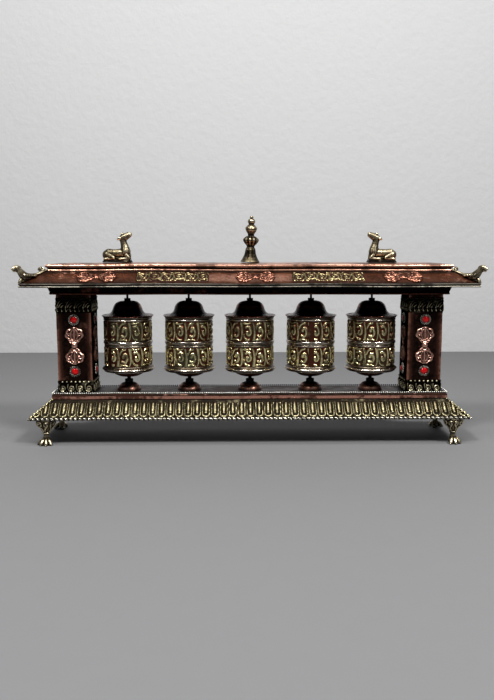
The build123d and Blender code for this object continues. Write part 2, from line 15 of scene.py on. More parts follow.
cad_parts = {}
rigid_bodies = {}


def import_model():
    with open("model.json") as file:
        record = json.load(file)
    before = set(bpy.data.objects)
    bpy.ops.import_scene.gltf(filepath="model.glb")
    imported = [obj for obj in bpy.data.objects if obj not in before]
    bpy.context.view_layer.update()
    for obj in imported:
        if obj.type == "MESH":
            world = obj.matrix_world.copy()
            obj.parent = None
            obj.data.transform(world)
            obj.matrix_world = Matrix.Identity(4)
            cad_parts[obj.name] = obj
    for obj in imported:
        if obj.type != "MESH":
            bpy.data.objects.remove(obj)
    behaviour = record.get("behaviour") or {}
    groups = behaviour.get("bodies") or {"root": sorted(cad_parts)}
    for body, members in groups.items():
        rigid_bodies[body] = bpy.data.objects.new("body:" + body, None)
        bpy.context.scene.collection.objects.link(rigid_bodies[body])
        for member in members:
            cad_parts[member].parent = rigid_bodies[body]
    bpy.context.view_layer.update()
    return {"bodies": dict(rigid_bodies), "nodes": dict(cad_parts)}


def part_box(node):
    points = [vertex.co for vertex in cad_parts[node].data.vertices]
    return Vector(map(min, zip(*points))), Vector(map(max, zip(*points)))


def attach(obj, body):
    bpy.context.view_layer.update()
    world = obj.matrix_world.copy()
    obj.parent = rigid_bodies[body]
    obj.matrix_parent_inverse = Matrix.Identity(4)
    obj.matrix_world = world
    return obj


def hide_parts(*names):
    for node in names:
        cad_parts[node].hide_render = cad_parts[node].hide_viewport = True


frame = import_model()

MM = 0.001
TAU = 2 * math.pi
WHEELS = [name for name in frame["bodies"] if name.startswith("wheel_")]
CORNERS = [(x_side, y_side) for x_side in (-1, 1) for y_side in (-1, 1)]


def box_mm(node):
    """Lowest and highest corner of a CAD node, in millimetres."""
    low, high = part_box(node)
    return np.array(low) / MM, np.array(high) / MM


def centre_mm(node):
    """Middle of a CAD node, in millimetres."""
    return sum(box_mm(node)) / 2


def half_mm(node):
    """Half size of a CAD node along x and y, in millimetres."""
    low, high = box_mm(node)
    return (high[0] - low[0]) / 2, (high[1] - low[1]) / 2


# ---------------------------------------------------------------- meshes


def triple(a, b, c):
    """Sum of the triple products of three stacks of vectors."""
    return np.einsum("ij,ij->", a, np.cross(b, c))


class Solid:
    """A closed mesh in millimetres with a relief value per vertex."""

    def __init__(self, verts, quads, ngons=(), relief=None):
        self.verts = np.asarray(verts, float)
        self.quads = np.asarray(quads, int).reshape(-1, 4)
        self.ngons = [list(face) for face in ngons]
        if relief is None:
            relief = np.full(len(self.verts), 0.5)
        self.relief = np.asarray(relief, float).ravel()

    def flipped(self):
        ngons = [face[::-1] for face in self.ngons]
        return Solid(self.verts, self.quads[:, ::-1], ngons, self.relief)

    def outward(self):
        """Turns the faces so that they look outwards."""
        a, b, c, d = (self.verts[self.quads[:, i]] for i in range(4))
        volume = triple(a, b, c) + triple(a, c, d)
        for face in self.ngons:
            fan = self.verts[face]
            volume += triple(np.broadcast_to(fan[0], fan[1:-1].shape), fan[1:-1], fan[2:])
        return self if volume >= 0 else self.flipped()

    def moved(self, matrix):
        m = np.array(matrix)
        solid = Solid(self.verts @ m[:3, :3].T + m[:3, 3], self.quads, self.ngons, self.relief)
        return solid.flipped() if np.linalg.det(m[:3, :3]) < 0 else solid


def joined(solids):
    verts, quads, ngons, relief, count = [], [], [], [], 0
    for solid in solids:
        verts.append(solid.verts)
        quads.append(solid.quads + count)
        ngons += [[i + count for i in face] for face in solid.ngons]
        relief.append(solid.relief)
        count += len(solid.verts)
    return Solid(np.concatenate(verts), np.concatenate(quads), ngons, np.concatenate(relief))


def grid_solid(points, relief=None, wrap_rows=False, wrap_columns=True, caps=False):
    """Skins a grid of points of shape (rows, columns, 3). caps closes its first and last rows."""
    rows, columns = points.shape[:2]
    r = np.arange(rows if wrap_rows else rows - 1)
    c = np.arange(columns if wrap_columns else columns - 1)
    r, c = np.meshgrid(r, c, indexing="ij")
    r_next, c_next = (r + 1) % rows, (c + 1) % columns
    corners = [r * columns + c, r * columns + c_next, r_next * columns + c_next, r_next * columns + c]
    quads = np.stack(corners, -1).reshape(-1, 4)
    ngons = []
    if caps:
        ngons = [list(range(columns))[::-1], [(rows - 1) * columns + i for i in range(columns)]]
    return Solid(points.reshape(-1, 3), quads, ngons, relief).outward()


def wobble(points, amount, wavelength, seed, waves=6):
    """Moves points by a smooth, slow field, for hand-worked sheet. One seed moves neighbours together."""
    rng = np.random.default_rng(seed)
    moved = points.copy()
    for _ in range(waves):
        direction = rng.normal(size=3)
        direction /= np.linalg.norm(direction)
        push = rng.normal(size=3)
        push *= amount / math.sqrt(waves) / np.linalg.norm(push)
        frequency = TAU / (wavelength * rng.uniform(0.6, 1.6))
        moved += np.sin(points @ direction * frequency + rng.uniform(0, TAU))[..., None] * push
    return moved


def outline(points, step=None, closed=True):
    """Rounds the corners of a profile of (a, b, fillet) points and returns (a, b, relief) rows.

    step is the longest span allowed. Relief rises on convex corners and falls in concave ones."""
    corners = np.array([p[:2] for p in points], float)
    fillets = [p[2] if len(p) > 2 else 0.0 for p in points]
    count = len(points)
    x, y = corners[:, 0], corners[:, 1]
    turn = np.sign(np.sum(x * np.roll(y, -1) - np.roll(x, -1) * y)) or 1.0
    rows = []
    for i, (corner, fillet) in enumerate(zip(corners, fillets)):
        if not closed and i in (0, count - 1):
            rows.append((*corner, 0.5))
            continue
        before, after = corners[i - 1] - corner, corners[(i + 1) % count] - corner
        length_before, length_after = np.linalg.norm(before), np.linalg.norm(after)
        cross = before[0] * after[1] - before[1] * after[0]
        bend = -turn * cross / (length_before * length_after)
        relief = 0.5 + 0.5 * np.clip(bend * 1.2, -1, 1)
        if fillet <= 0:
            rows.append((*corner, relief))
            continue
        reach = min(fillet, 0.48 * length_before, 0.48 * length_after)
        start = corner + before / length_before * reach
        end = corner + after / length_after * reach
        for t in np.linspace(0, 1, 5):
            point = (1 - t) ** 2 * start + 2 * t * (1 - t) * corner + t * t * end
            rows.append((*point, 0.5 + (relief - 0.5) * (1 - abs(2 * t - 1) ** 2)))
    rows = np.array(rows)
    if step is None:
        return rows
    fine = []
    spans = len(rows) if closed else len(rows) - 1
    for i in range(spans):
        a, b = rows[i], rows[(i + 1) % len(rows)]
        parts = max(1, math.ceil(np.linalg.norm(b[:2] - a[:2]) / step))
        fine += [a + (b - a) * k / parts for k in range(parts)]
    if not closed:
        fine.append(rows[-1])
    return np.array(fine)


def lathe(points, segments=96, step=None, closed=True, flute=None, dents=None):
    """Turns a profile of (radius, height, fillet) points about Z.

    flute(height, angle) scales the radius, and dents is (amount, wavelength, seed) for wobble()."""
    rows = outline(points, step, closed)
    angle = np.arange(segments) * TAU / segments
    radius, height, relief = (rows[:, i : i + 1] * np.ones(segments) for i in range(3))
    if flute:
        scale = flute(height, angle[None, :])
        radius = radius * scale
        relief = np.clip(relief + (scale - 1) * 6, 0, 1)
    grid = np.stack([radius * np.cos(angle), radius * np.sin(angle), height], -1)
    if dents:
        grid = wobble(grid, *dents)
    return grid_solid(grid, relief, wrap_rows=closed, caps=not closed)


def rect_path(half_x, half_y, step):
    """Positions round a rectangle as (x share, y share, side), its corners at +-1 and its front side 0."""
    n_x, n_y = (max(2, round(2 * half / step)) for half in (half_x, half_y))
    run_x, run_y = (np.arange(n) / n * 2 - 1 for n in (n_x, n_y))
    x = np.concatenate([run_x, np.ones(n_y), -run_x, -np.ones(n_y)])
    y = np.concatenate([-np.ones(n_x), run_y, np.ones(n_x), -run_y])
    side = np.repeat([0, 1, 2, 3], [n_x, n_y, n_x, n_y])
    return x, y, side


def along_sides(side, x, y):
    """Place along each side of a rectangle, growing the way rect_path() runs."""
    return np.where(side % 2 == 0, x * np.where(side == 0, 1, -1), y * np.where(side == 1, 1, -1))


def end_sign(share):
    """-1 or 1 where a share is at its end and 0 elsewhere."""
    return np.sign(share) * (abs(share) > 0.9999)


def rect_sweep(rows, step=3.0, closed=True, dents=None, centre=(0.0, 0.0)):
    """Sweeps rows of (half x, half y, height, relief) round a rectangle.

    An open sweep starts and ends on a line."""
    rows = np.array(rows, float)
    x, y, _ = rect_path(rows[:, 0].max(), rows[:, 1].max(), step)
    half_x, half_y, height, relief = (rows[:, i : i + 1] for i in range(4))
    level = np.ones(len(x))
    grid = np.stack([half_x * x + centre[0], half_y * y + centre[1], height * level], -1)
    if dents:
        grid = wobble(grid, *dents)
    return grid_solid(grid, relief * level, wrap_rows=closed)


def rect_rows(points, half, step=None, closed=True):
    """Rows for rect_sweep from a profile of (outward, height, fillet) points measured from half sizes."""
    return [(half[0] + a, half[1] + a, b, relief) for a, b, relief in outline(points, step, closed)]


def lid_rows(points, half, step, relief):
    """Rows of an open sweep that meets itself in the middle. relief(height, relief) gives their relief."""
    rows = rect_rows(points, half, step, closed=False)
    return [(a, max(b, 0.0), z, relief(z, r)) for a, b, z, r in rows]


def relief_wall(low_half, high_half, low_z, high_z, field, step, back=0.6, centre=(0.0, 0.0), dents=None):
    """Relief on the four sides of a frustum. field(along, up) gives the height there, in millimetres."""
    x, y, side = rect_path(*low_half, step)
    slant = math.hypot(low_half[1] - high_half[1], high_z - low_z)
    count = max(2, round(slant / step))
    share = np.linspace(0, 1, count + 1)[:, None]
    half_x = low_half[0] + (high_half[0] - low_half[0]) * share
    half_y = low_half[1] + (high_half[1] - low_half[1]) * share
    px, py = half_x * x, half_y * y
    pz = (low_z + (high_z - low_z) * share) * np.ones(len(x))
    across = side % 2 == 0
    room = np.where(across, half_x - abs(px), half_y - abs(py))
    height = field(along_sides(side, px, py), share * slant * np.ones_like(px))
    height = height * np.clip(room / 0.8, 0, 1)
    rise_x, rise_y = (low_half[0] - high_half[0]) / slant, (low_half[1] - high_half[1]) / slant
    lean = np.where(across, rise_y, rise_x)
    upright = np.sqrt(1 - np.minimum(lean, 0.99) ** 2)
    facing = np.array([(0, -1, 0), (1, 0, 0), (0, 1, 0), (-1, 0, 0)])[side]
    normal = facing * upright[:, None] + np.array([0, 0, 1]) * lean[:, None]
    base = np.stack([px + centre[0], py + centre[1], pz], -1)
    if dents:
        base = wobble(base, *dents)
    front = base + normal * height[..., None]
    inward = np.array([-end_sign(x), -end_sign(y), 0 * x]).T * back
    rear = base[[-1, 0]] + np.where(inward.any(1, keepdims=True), inward, -normal * back)
    grid = np.concatenate([front, rear])
    relief = np.concatenate([height / max(height.max(), 1e-6), np.zeros((2, len(x)))])
    return grid_solid(grid, relief, wrap_rows=True)


def relief_drum(radius, low_z, high_z, field, step=0.42, back=0.05):
    """Relief round a cylinder about Z. field(along, up) gives the height, along measured at the radius."""
    columns = round(TAU * radius / step)
    rows = round((high_z - low_z) / step) + 1
    angle = np.arange(columns) * TAU / columns
    up = np.linspace(0, high_z - low_z, rows)[:, None]
    height = field(radius * angle * np.ones_like(up), up * np.ones(columns))
    height[[0, -1]] = 0
    r = np.concatenate([radius + height, np.full((2, columns), radius - back)])
    z = np.concatenate([low_z + up, [[high_z], [low_z]]]) * np.ones(columns)
    grid = np.stack([r * np.cos(angle), r * np.sin(angle), z], -1)
    relief = np.concatenate([height / height.max(), np.zeros((2, columns))])
    return grid_solid(grid, relief, wrap_rows=True)


def relief_plate(width, height, field, step=0.45):
    """Rectangular plate in the XY plane with a relief on top and a flat back at zero."""
    columns, rows = round(width / step) + 1, round(height / step) + 1
    spans = ((width, columns), (height, rows))
    x, y = np.meshgrid(*(np.linspace(-size / 2, size / 2, count) for size, count in spans))
    z = field(x, y)
    top = np.stack([x, y, z + 0.12], -1).reshape(-1, 3)
    index = np.arange(rows * columns).reshape(rows, columns)
    loop = np.concatenate([index[0, :-1], index[:-1, -1], index[-1, :0:-1], index[:0:-1, 0]])
    rim = top[loop] * [1, 1, 0]
    lower = np.arange(len(loop)) + rows * columns
    quads = np.stack([index[:-1, :-1], index[:-1, 1:], index[1:, 1:], index[1:, :-1]], -1).reshape(-1, 4)
    walls = np.stack([loop, lower, np.roll(lower, -1), np.roll(loop, -1)], -1)
    relief = np.concatenate([(z / z.max()).ravel(), np.zeros(len(loop))])
    verts = np.concatenate([top, rim])
    return Solid(verts, np.concatenate([quads, walls]), [list(lower[::-1])], relief).outward()


def cut_plate(width, height, inside, field, step=0.4, thickness=0.35, ground=0.42):
    """Plate in the XY plane cut to the outline where inside(x, y) is zero, with a relief on its top."""
    columns, rows = round(width / step) + 3, round(height / step) + 3
    x, y = np.meshgrid(*((np.arange(n) - (n - 1) / 2) * step for n in (columns, rows)))
    kept = inside(x, y) > -0.5 * step
    cells = kept[:-1, :-1] & kept[:-1, 1:] & kept[1:, 1:] & kept[1:, :-1]
    index = np.arange(rows * columns).reshape(rows, columns)
    quads = np.stack([index[:-1, :-1], index[:-1, 1:], index[1:, 1:], index[1:, :-1]], -1)[cells]
    used, quads = np.unique(quads, return_inverse=True)
    quads = quads.reshape(-1, 4)
    px, py = x.ravel()[used], y.ravel()[used]
    edges = {(a, b): True for quad in quads for a, b in zip(quad, np.roll(quad, -1))}
    border = [(a, b) for a, b in edges if (b, a) not in edges]
    rim = np.unique(np.array(border).ravel())
    for _ in range(4):
        d, e = inside(px[rim], py[rim]), 0.02
        gx = (inside(px[rim] + e, py[rim]) - d) / e
        gy = (inside(px[rim], py[rim] + e) - d) / e
        size = np.maximum(gx * gx + gy * gy, 0.2)
        px[rim] -= np.clip(d * gx / size, -step, step)
        py[rim] -= np.clip(d * gy / size, -step, step)
    z = thickness + field(px, py)
    z[rim] = thickness
    count = len(px)
    verts = np.concatenate([np.stack([px, py, z], -1), np.stack([px, py, 0 * z], -1)])
    walls = [(b, a, a + count, b + count) for a, b in border]
    raised = (z - thickness) / max((z - thickness).max(), 1e-6)
    relief = np.concatenate([ground + (1 - ground) * raised, np.zeros(count)])
    return Solid(verts, np.concatenate([quads, quads[:, ::-1] + count, walls]), (), relief).outward()


def ball(centre, radius, segments=10, rings=6):
    polar = np.linspace(0.12, math.pi - 0.12, rings)[:, None]
    angle = (np.arange(segments) * TAU / segments)[None, :]
    ring = np.sin(polar)
    grid = np.stack([ring * np.cos(angle), ring * np.sin(angle), -np.cos(polar) * np.ones(segments)], -1)
    return grid_solid(grid * radius + np.array(centre), np.full((rings, segments), 0.9), caps=True)


def bead_row(half, z, pitch, radius):
    """Beads along a rectangle."""
    x, y, _ = rect_path(*half, pitch)
    return joined([ball((a * half[0], b * half[1], z), radius) for a, b in zip(x, y)])


def chain(points):
    """Overlapping balls along (x, y, z, radius) points, to be fused by cast()."""
    balls = []
    points = np.array(points, float)
    for a, b in zip(points, points[1:]):
        parts = max(1, math.ceil(np.linalg.norm(b[:3] - a[:3]) / (0.4 * max(a[3], b[3]))))
        balls += [a + (b - a) * k / parts for k in range(parts + 1)]
    return joined([ball(p[:3], p[3], 14, 9) for p in balls])


def read_all(items, key, width, kind=float):
    """Values of one property of all of a mesh's elements, a row each."""
    values = np.empty(len(items) * width, kind)
    items.foreach_get(key, values)
    return values.reshape(-1, width)


def cast(solid, voxel, smooth, contrast=9.0):
    """Fuses overlapping shells into one skin, smooths it, and reads its relief from how convex it is."""
    mesh = bpy.data.meshes.new("cast")
    mesh.from_pydata(solid.verts.tolist(), [], solid.quads.tolist() + solid.ngons)
    source = bpy.data.objects.new("cast", mesh)
    bpy.context.scene.collection.objects.link(source)
    fuse = source.modifiers.new("fuse", "REMESH")
    fuse.mode = "VOXEL"
    fuse.voxel_size = voxel
    ease = source.modifiers.new("ease", "SMOOTH")
    ease.iterations = smooth
    ease.factor = 0.5
    fused = bpy.data.meshes.new_from_object(source.evaluated_get(bpy.context.evaluated_depsgraph_get()))
    verts = read_all(fused.vertices, "co", 3)
    normals = read_all(fused.vertices, "normal", 3)
    a, b = read_all(fused.edges, "vertices", 2, int).T
    faces = [list(face.vertices) for face in fused.polygons]
    quads = [face for face in faces if len(face) == 4]
    others = [face for face in faces if len(face) != 4]
    degree = np.bincount(np.concatenate([a, b]), minlength=len(verts))[:, None]

    def neighbour_mean(values):
        total = np.zeros((len(verts), values.shape[1]))
        np.add.at(total, a, values[b])
        np.add.at(total, b, values[a])
        return total / degree

    wide = verts
    for _ in range(3):
        wide = neighbour_mean(wide)
    relief = np.einsum("ij,ij->i", verts - wide, normals)[:, None]
    relief = neighbour_mean(relief)
    bpy.data.objects.remove(source)
    bpy.data.meshes.remove(fused)
    bpy.data.meshes.remove(mesh)
    return Solid(verts, quads, others, np.clip(0.5 + relief * contrast, 0, 1))


def make_piece(name, solid, material, node=None, body="frame", weld=0.0):
    """Makes the object of one piece, hides the CAD node it stands for and puts the piece on its body."""
    mesh = bpy.data.meshes.new(name)
    mesh.from_pydata((solid.verts * MM).tolist(), [], solid.quads.tolist() + solid.ngons)
    relief = mesh.attributes.new("relief", "FLOAT", "POINT")
    relief.data.foreach_set("value", solid.relief.astype(np.float32))
    if weld:
        edit = bmesh.new()
        edit.from_mesh(mesh)
        bmesh.ops.remove_doubles(edit, verts=edit.verts, dist=weld * MM)
        bmesh.ops.dissolve_degenerate(edit, edges=edit.edges, dist=1e-7)
        edit.to_mesh(mesh)
        edit.free()
    mesh.shade_smooth()
    mesh.set_sharp_from_angle(angle=math.radians(35))
    mesh.materials.append(material)
    obj = bpy.data.objects.new(name, mesh)
    bpy.context.scene.collection.objects.link(obj)
    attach(obj, body)
    if node:
        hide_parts(node)


# ---------------------------------------------------------------- ornament strokes


def stroke_height(x, y, strokes, edge=0.45):
    """Rounded ridges, 0 to 1, over strokes of (points, start half width, end half width)."""
    height = np.zeros(np.shape(x))
    for points, start, end in strokes:
        points = np.array(points, float)
        spans = len(points) - 1
        for i in range(max(spans, 1)):
            a, b = points[i], points[min(i + 1, spans)]
            dx, dy = b - a
            length = max(dx * dx + dy * dy, 1e-9)
            t = np.clip(((x - a[0]) * dx + (y - a[1]) * dy) / length, 0, 1)
            away = (x - a[0] - t * dx) ** 2 + (y - a[1] - t * dy) ** 2
            width = start + (end - start) * (i + t) / max(spans, 1)
            height = np.maximum(height, 1 - away / width**2)
    return np.clip(height, 0, 1) ** edge


def spiral(centre, start_radius, end_radius, start, end, stretch=1.0, count=26):
    """Points of a spiral between two angles in degrees."""
    angle = np.radians(np.linspace(start, end, count))
    radius = np.linspace(start_radius, end_radius, count)
    return np.stack([centre[0] + radius * np.cos(angle), centre[1] + radius * np.sin(angle) * stretch], -1)


def curve(*points, count=8):
    """Quadratic curve through the middle control point's pull."""
    a, b, c = (np.array(p, float) for p in points)
    t = np.linspace(0, 1, count)[:, None]
    return (1 - t) ** 2 * a + 2 * t * (1 - t) * b + t * t * c


def scaled(strokes, w, h, width):
    """Strokes with their points scaled by w and h and their widths by width."""
    return [(np.array(points) * [w, h], a * width, b * width) for points, a, b in strokes]


def dot(x, y, radius):
    return [(x, y), (x + 0.02, y)], radius, radius


def vine_tile():
    """One spiral of a running vine, 11.4 by 13.4, centred: curl, leaves, berries and bud."""
    return [
        (spiral((0.1, -0.2), 4.9, 1.5, 180, -250, 1.0), 0.95, 0.75),
        dot(0.1, -0.2, 1.15),
        (curve((3.4, 3.2), (5.6, 3.0), (6.5, 0.0)), 0.8, 0.95),
        (curve((-4.6, -1.0), (-5.9, -4.4), (-3.6, -5.9)), 0.55, 1.15),
        (curve((5.9, -1.6), (6.0, -4.2), (3.9, -5.7)), 0.45, 1.1),
        (curve((-5.2, 2.4), (-5.2, 5.2), (-2.9, 6.0)), 0.45, 1.0),
        (curve((3.4, 4.6), (4.6, 6.4), (5.7, 4.6)), 0.5, 0.8),
        dot(-1.72, -5.7, 0.75),
        dot(0.1, -5.9, 0.85),
        dot(1.9, -5.6, 0.75),
    ]


def bold_tile():
    """A thick curl beside an upright leaf, with a short leaf over and under it, 11.4 by 13.4."""
    return [
        (spiral((-1.4, -0.3), 3.3, 0.9, 130, -180, 1.3), 1.3, 1.5),
        (curve((2.9, 6.2), (5.6, 2.0), (3.6, -6.2)), 0.75, 1.55),
        (curve((-5.2, 6.0), (-2.2, 4.9), (1.2, 6.3)), 1.25, 0.7),
        (curve((-5.4, -2.0), (-5.0, -5.6), (-1.0, -6.0)), 0.7, 1.3),
    ]


def vine(x, y, width, height, tile_strokes):
    """Height of tiles that follow each other along x, every second one upside down, centred on y = 0."""
    w, h = width / 11.4, height / 13.4
    strokes = scaled(tile_strokes, w, h, min(w, h))
    tile = np.floor(x / width)
    flip = np.where(tile % 2 == 1, -1.0, 1.0)
    local = x - (tile + 0.5) * width
    heights = [
        stroke_height(local - shift, y * flip * turn, strokes)
        for shift, turn in ((-width, -1), (0.0, 1), (width, -1))
    ]
    return np.maximum.reduce(heights)


def petals(along, up, pitch, sole, head):
    """U-shaped petals between two heights up a slope, each with a fat ridge that ends in a bead."""
    x = (along + pitch / 2) % pitch - pitch / 2
    r = pitch * 0.385
    foot = sole + r
    strokes = [
        ([(-r, head), (-r, foot)], 0.55, 0.8),
        ([(r, head), (r, foot)], 0.55, 0.8),
        (spiral((0, foot), r, r, 180, 360, count=12), 0.8, 0.8),
        ([(0, head - 0.6), (0, foot + 5.2)], 1.0, 1.6),
        ([(0, foot + 5.2), (0, foot + 2.4)], 1.6, 1.0),
    ]
    beads = [([(0, foot + 1.5), (0, foot + 1.52)], 1.4, 1.4), ([(0, sole), (0.01, sole)], 1.3, 1.3)]
    return np.maximum(0.8 * stroke_height(x, up, strokes, 0.5), stroke_height(x, up, beads, 0.5))


def bead_line(along, up, at, pitch, radius):
    """A row of round beads at one height."""
    x = (along + pitch / 2) % pitch - pitch / 2
    return np.sqrt(np.clip(1 - (x**2 + (up - at) ** 2) / radius**2, 0, 1))


def dorje_inside(x, y, length, width):
    """Positive inside the outline of a double-ended thunderbolt, about in millimetres."""
    ax = np.abs(x)
    turn = np.arctan2(y / (width * 0.5), (ax - length * 0.3) / (length * 0.195))
    reach = np.hypot((ax - length * 0.3) / (length * 0.195), y / (width * 0.5))
    fan = (0.94 + 0.10 * np.abs(np.cos(3.5 * turn)) - reach) * width * 0.4
    collar = (width * 0.3 - np.hypot(ax - length * 0.19, y * 0.9))
    waist = np.minimum(length * 0.25 - ax, width * 0.125 - np.abs(y))
    knob = width * 0.165 - np.hypot(x, y)
    return np.maximum.reduce([fan, collar, waist, knob])


def dorje_field(x, y, length, width):
    """Stamped prongs, lotus collars and the middle knob of the thunderbolt."""
    u, v = length / 34.4, width / 17.0
    ax, ay = np.abs(x) / u, np.abs(y) / v
    strokes = [
        ([(5.0, 0), (15.2, 0)], 0.55, 0.95),
        dot(16.0, 0, 1.0),
        (curve((5.4, 1.2), (9.6, 5.4), (14.6, 1.5), count=12), 0.5, 0.62),
        (curve((5.6, 2.8), (7.6, 8.6), (12.6, 6.6), count=12), 0.6, 0.72),
        (curve((12.6, 6.6), (15.6, 5.2), (14.6, 3.0)), 0.72, 0.55),
        (spiral((10.2, 5.0), 1.5, 0.6, 60, -330, count=16), 0.42, 0.5),
        ([(4.4, 0), (4.4, 3.4)], 0.9, 0.75),
        ([(2.9, 0), (2.9, 1.6)], 0.5, 0.5),
    ]
    knob = np.sqrt(np.clip(1 - (np.hypot(ax, ay) / 2.1) ** 2, 0, 1))
    rim = np.clip(1 - ((dorje_inside(x, y, length, width) - 0.55) / 0.5) ** 2, 0, 1)
    dish = 0.3 * np.clip(1 - np.hypot((ax - 10.5) / 6, ay / 8), 0, 1)
    return 0.95 * np.maximum.reduce([stroke_height(ax, ay, strokes), 1.15 * knob, 0.62 * rim, dish])


# ---------------------------------------------------------------- materials


def shader(name):
    """A new material, its node tree and its surface node."""
    material = bpy.data.materials.new(name)
    material.use_nodes = True
    tree = material.node_tree
    return material, tree, tree.nodes["Principled BSDF"]


def feed(tree, socket, value):
    """Fills an input with another node's output, a colour or a number."""
    if isinstance(value, bpy.types.NodeSocket):
        tree.links.new(value, socket)
    else:
        socket.default_value = (*value, 1.0) if isinstance(value, tuple) else value


def add(tree, kind, **values):
    """Adds a node; a value named after an input fills it, with a socket linked and anything else set."""
    new = tree.nodes.new(kind)
    for key, value in values.items():
        label = key.replace("_", " ")
        if hasattr(new, key) and label not in new.inputs:
            setattr(new, key, value)
        else:
            feed(tree, new.inputs[label], value)
    return new


def blend_colour(tree, factor, first, second):
    """The first colour where the factor is 0 and the second where it is 1."""
    mix = add(tree, "ShaderNodeMix", data_type="RGBA")
    for index, value in ((0, factor), (6, first), (7, second)):
        feed(tree, mix.inputs[index], value)
    return mix.outputs[2]


def maths(tree, operation, a, b=0.0, clamp=False):
    new = tree.nodes.new("ShaderNodeMath")
    new.operation = operation
    new.use_clamp = clamp
    for socket, value in zip(new.inputs, (a, b)):
        feed(tree, socket, value)
    return new.outputs[0]


def ramp(tree, value, low, high):
    """0 below low and 1 above high, smooth between."""
    new = tree.nodes.new("ShaderNodeMapRange")
    new.interpolation_type = "SMOOTHSTEP"
    tree.links.new(value, new.inputs["Value"])
    new.inputs["From Min"].default_value = low
    new.inputs["From Max"].default_value = high
    return new.outputs["Result"]


def surface_position(tree):
    """Object coordinates, moved by a different amount for each object, so that copies don't look alike."""
    coordinates = add(tree, "ShaderNodeTexCoord")
    info = add(tree, "ShaderNodeObjectInfo")
    offset = maths(tree, "MULTIPLY", info.outputs["Random"], 3.0)
    shift = add(tree, "ShaderNodeVectorMath", operation="ADD")
    tree.links.new(coordinates.outputs["Object"], shift.inputs[0])
    tree.links.new(offset, shift.inputs[1])
    return shift.outputs["Vector"]


def noise(tree, position, scale, detail=5.0, roughness=0.55):
    new = add(tree, "ShaderNodeTexNoise", Vector=position, Scale=scale, Detail=detail, Roughness=roughness)
    return new.outputs["Fac"]


def bump(tree, height, strength, distance):
    new = add(tree, "ShaderNodeBump", Height=height, Strength=strength, Distance=distance)
    return new.outputs["Normal"]


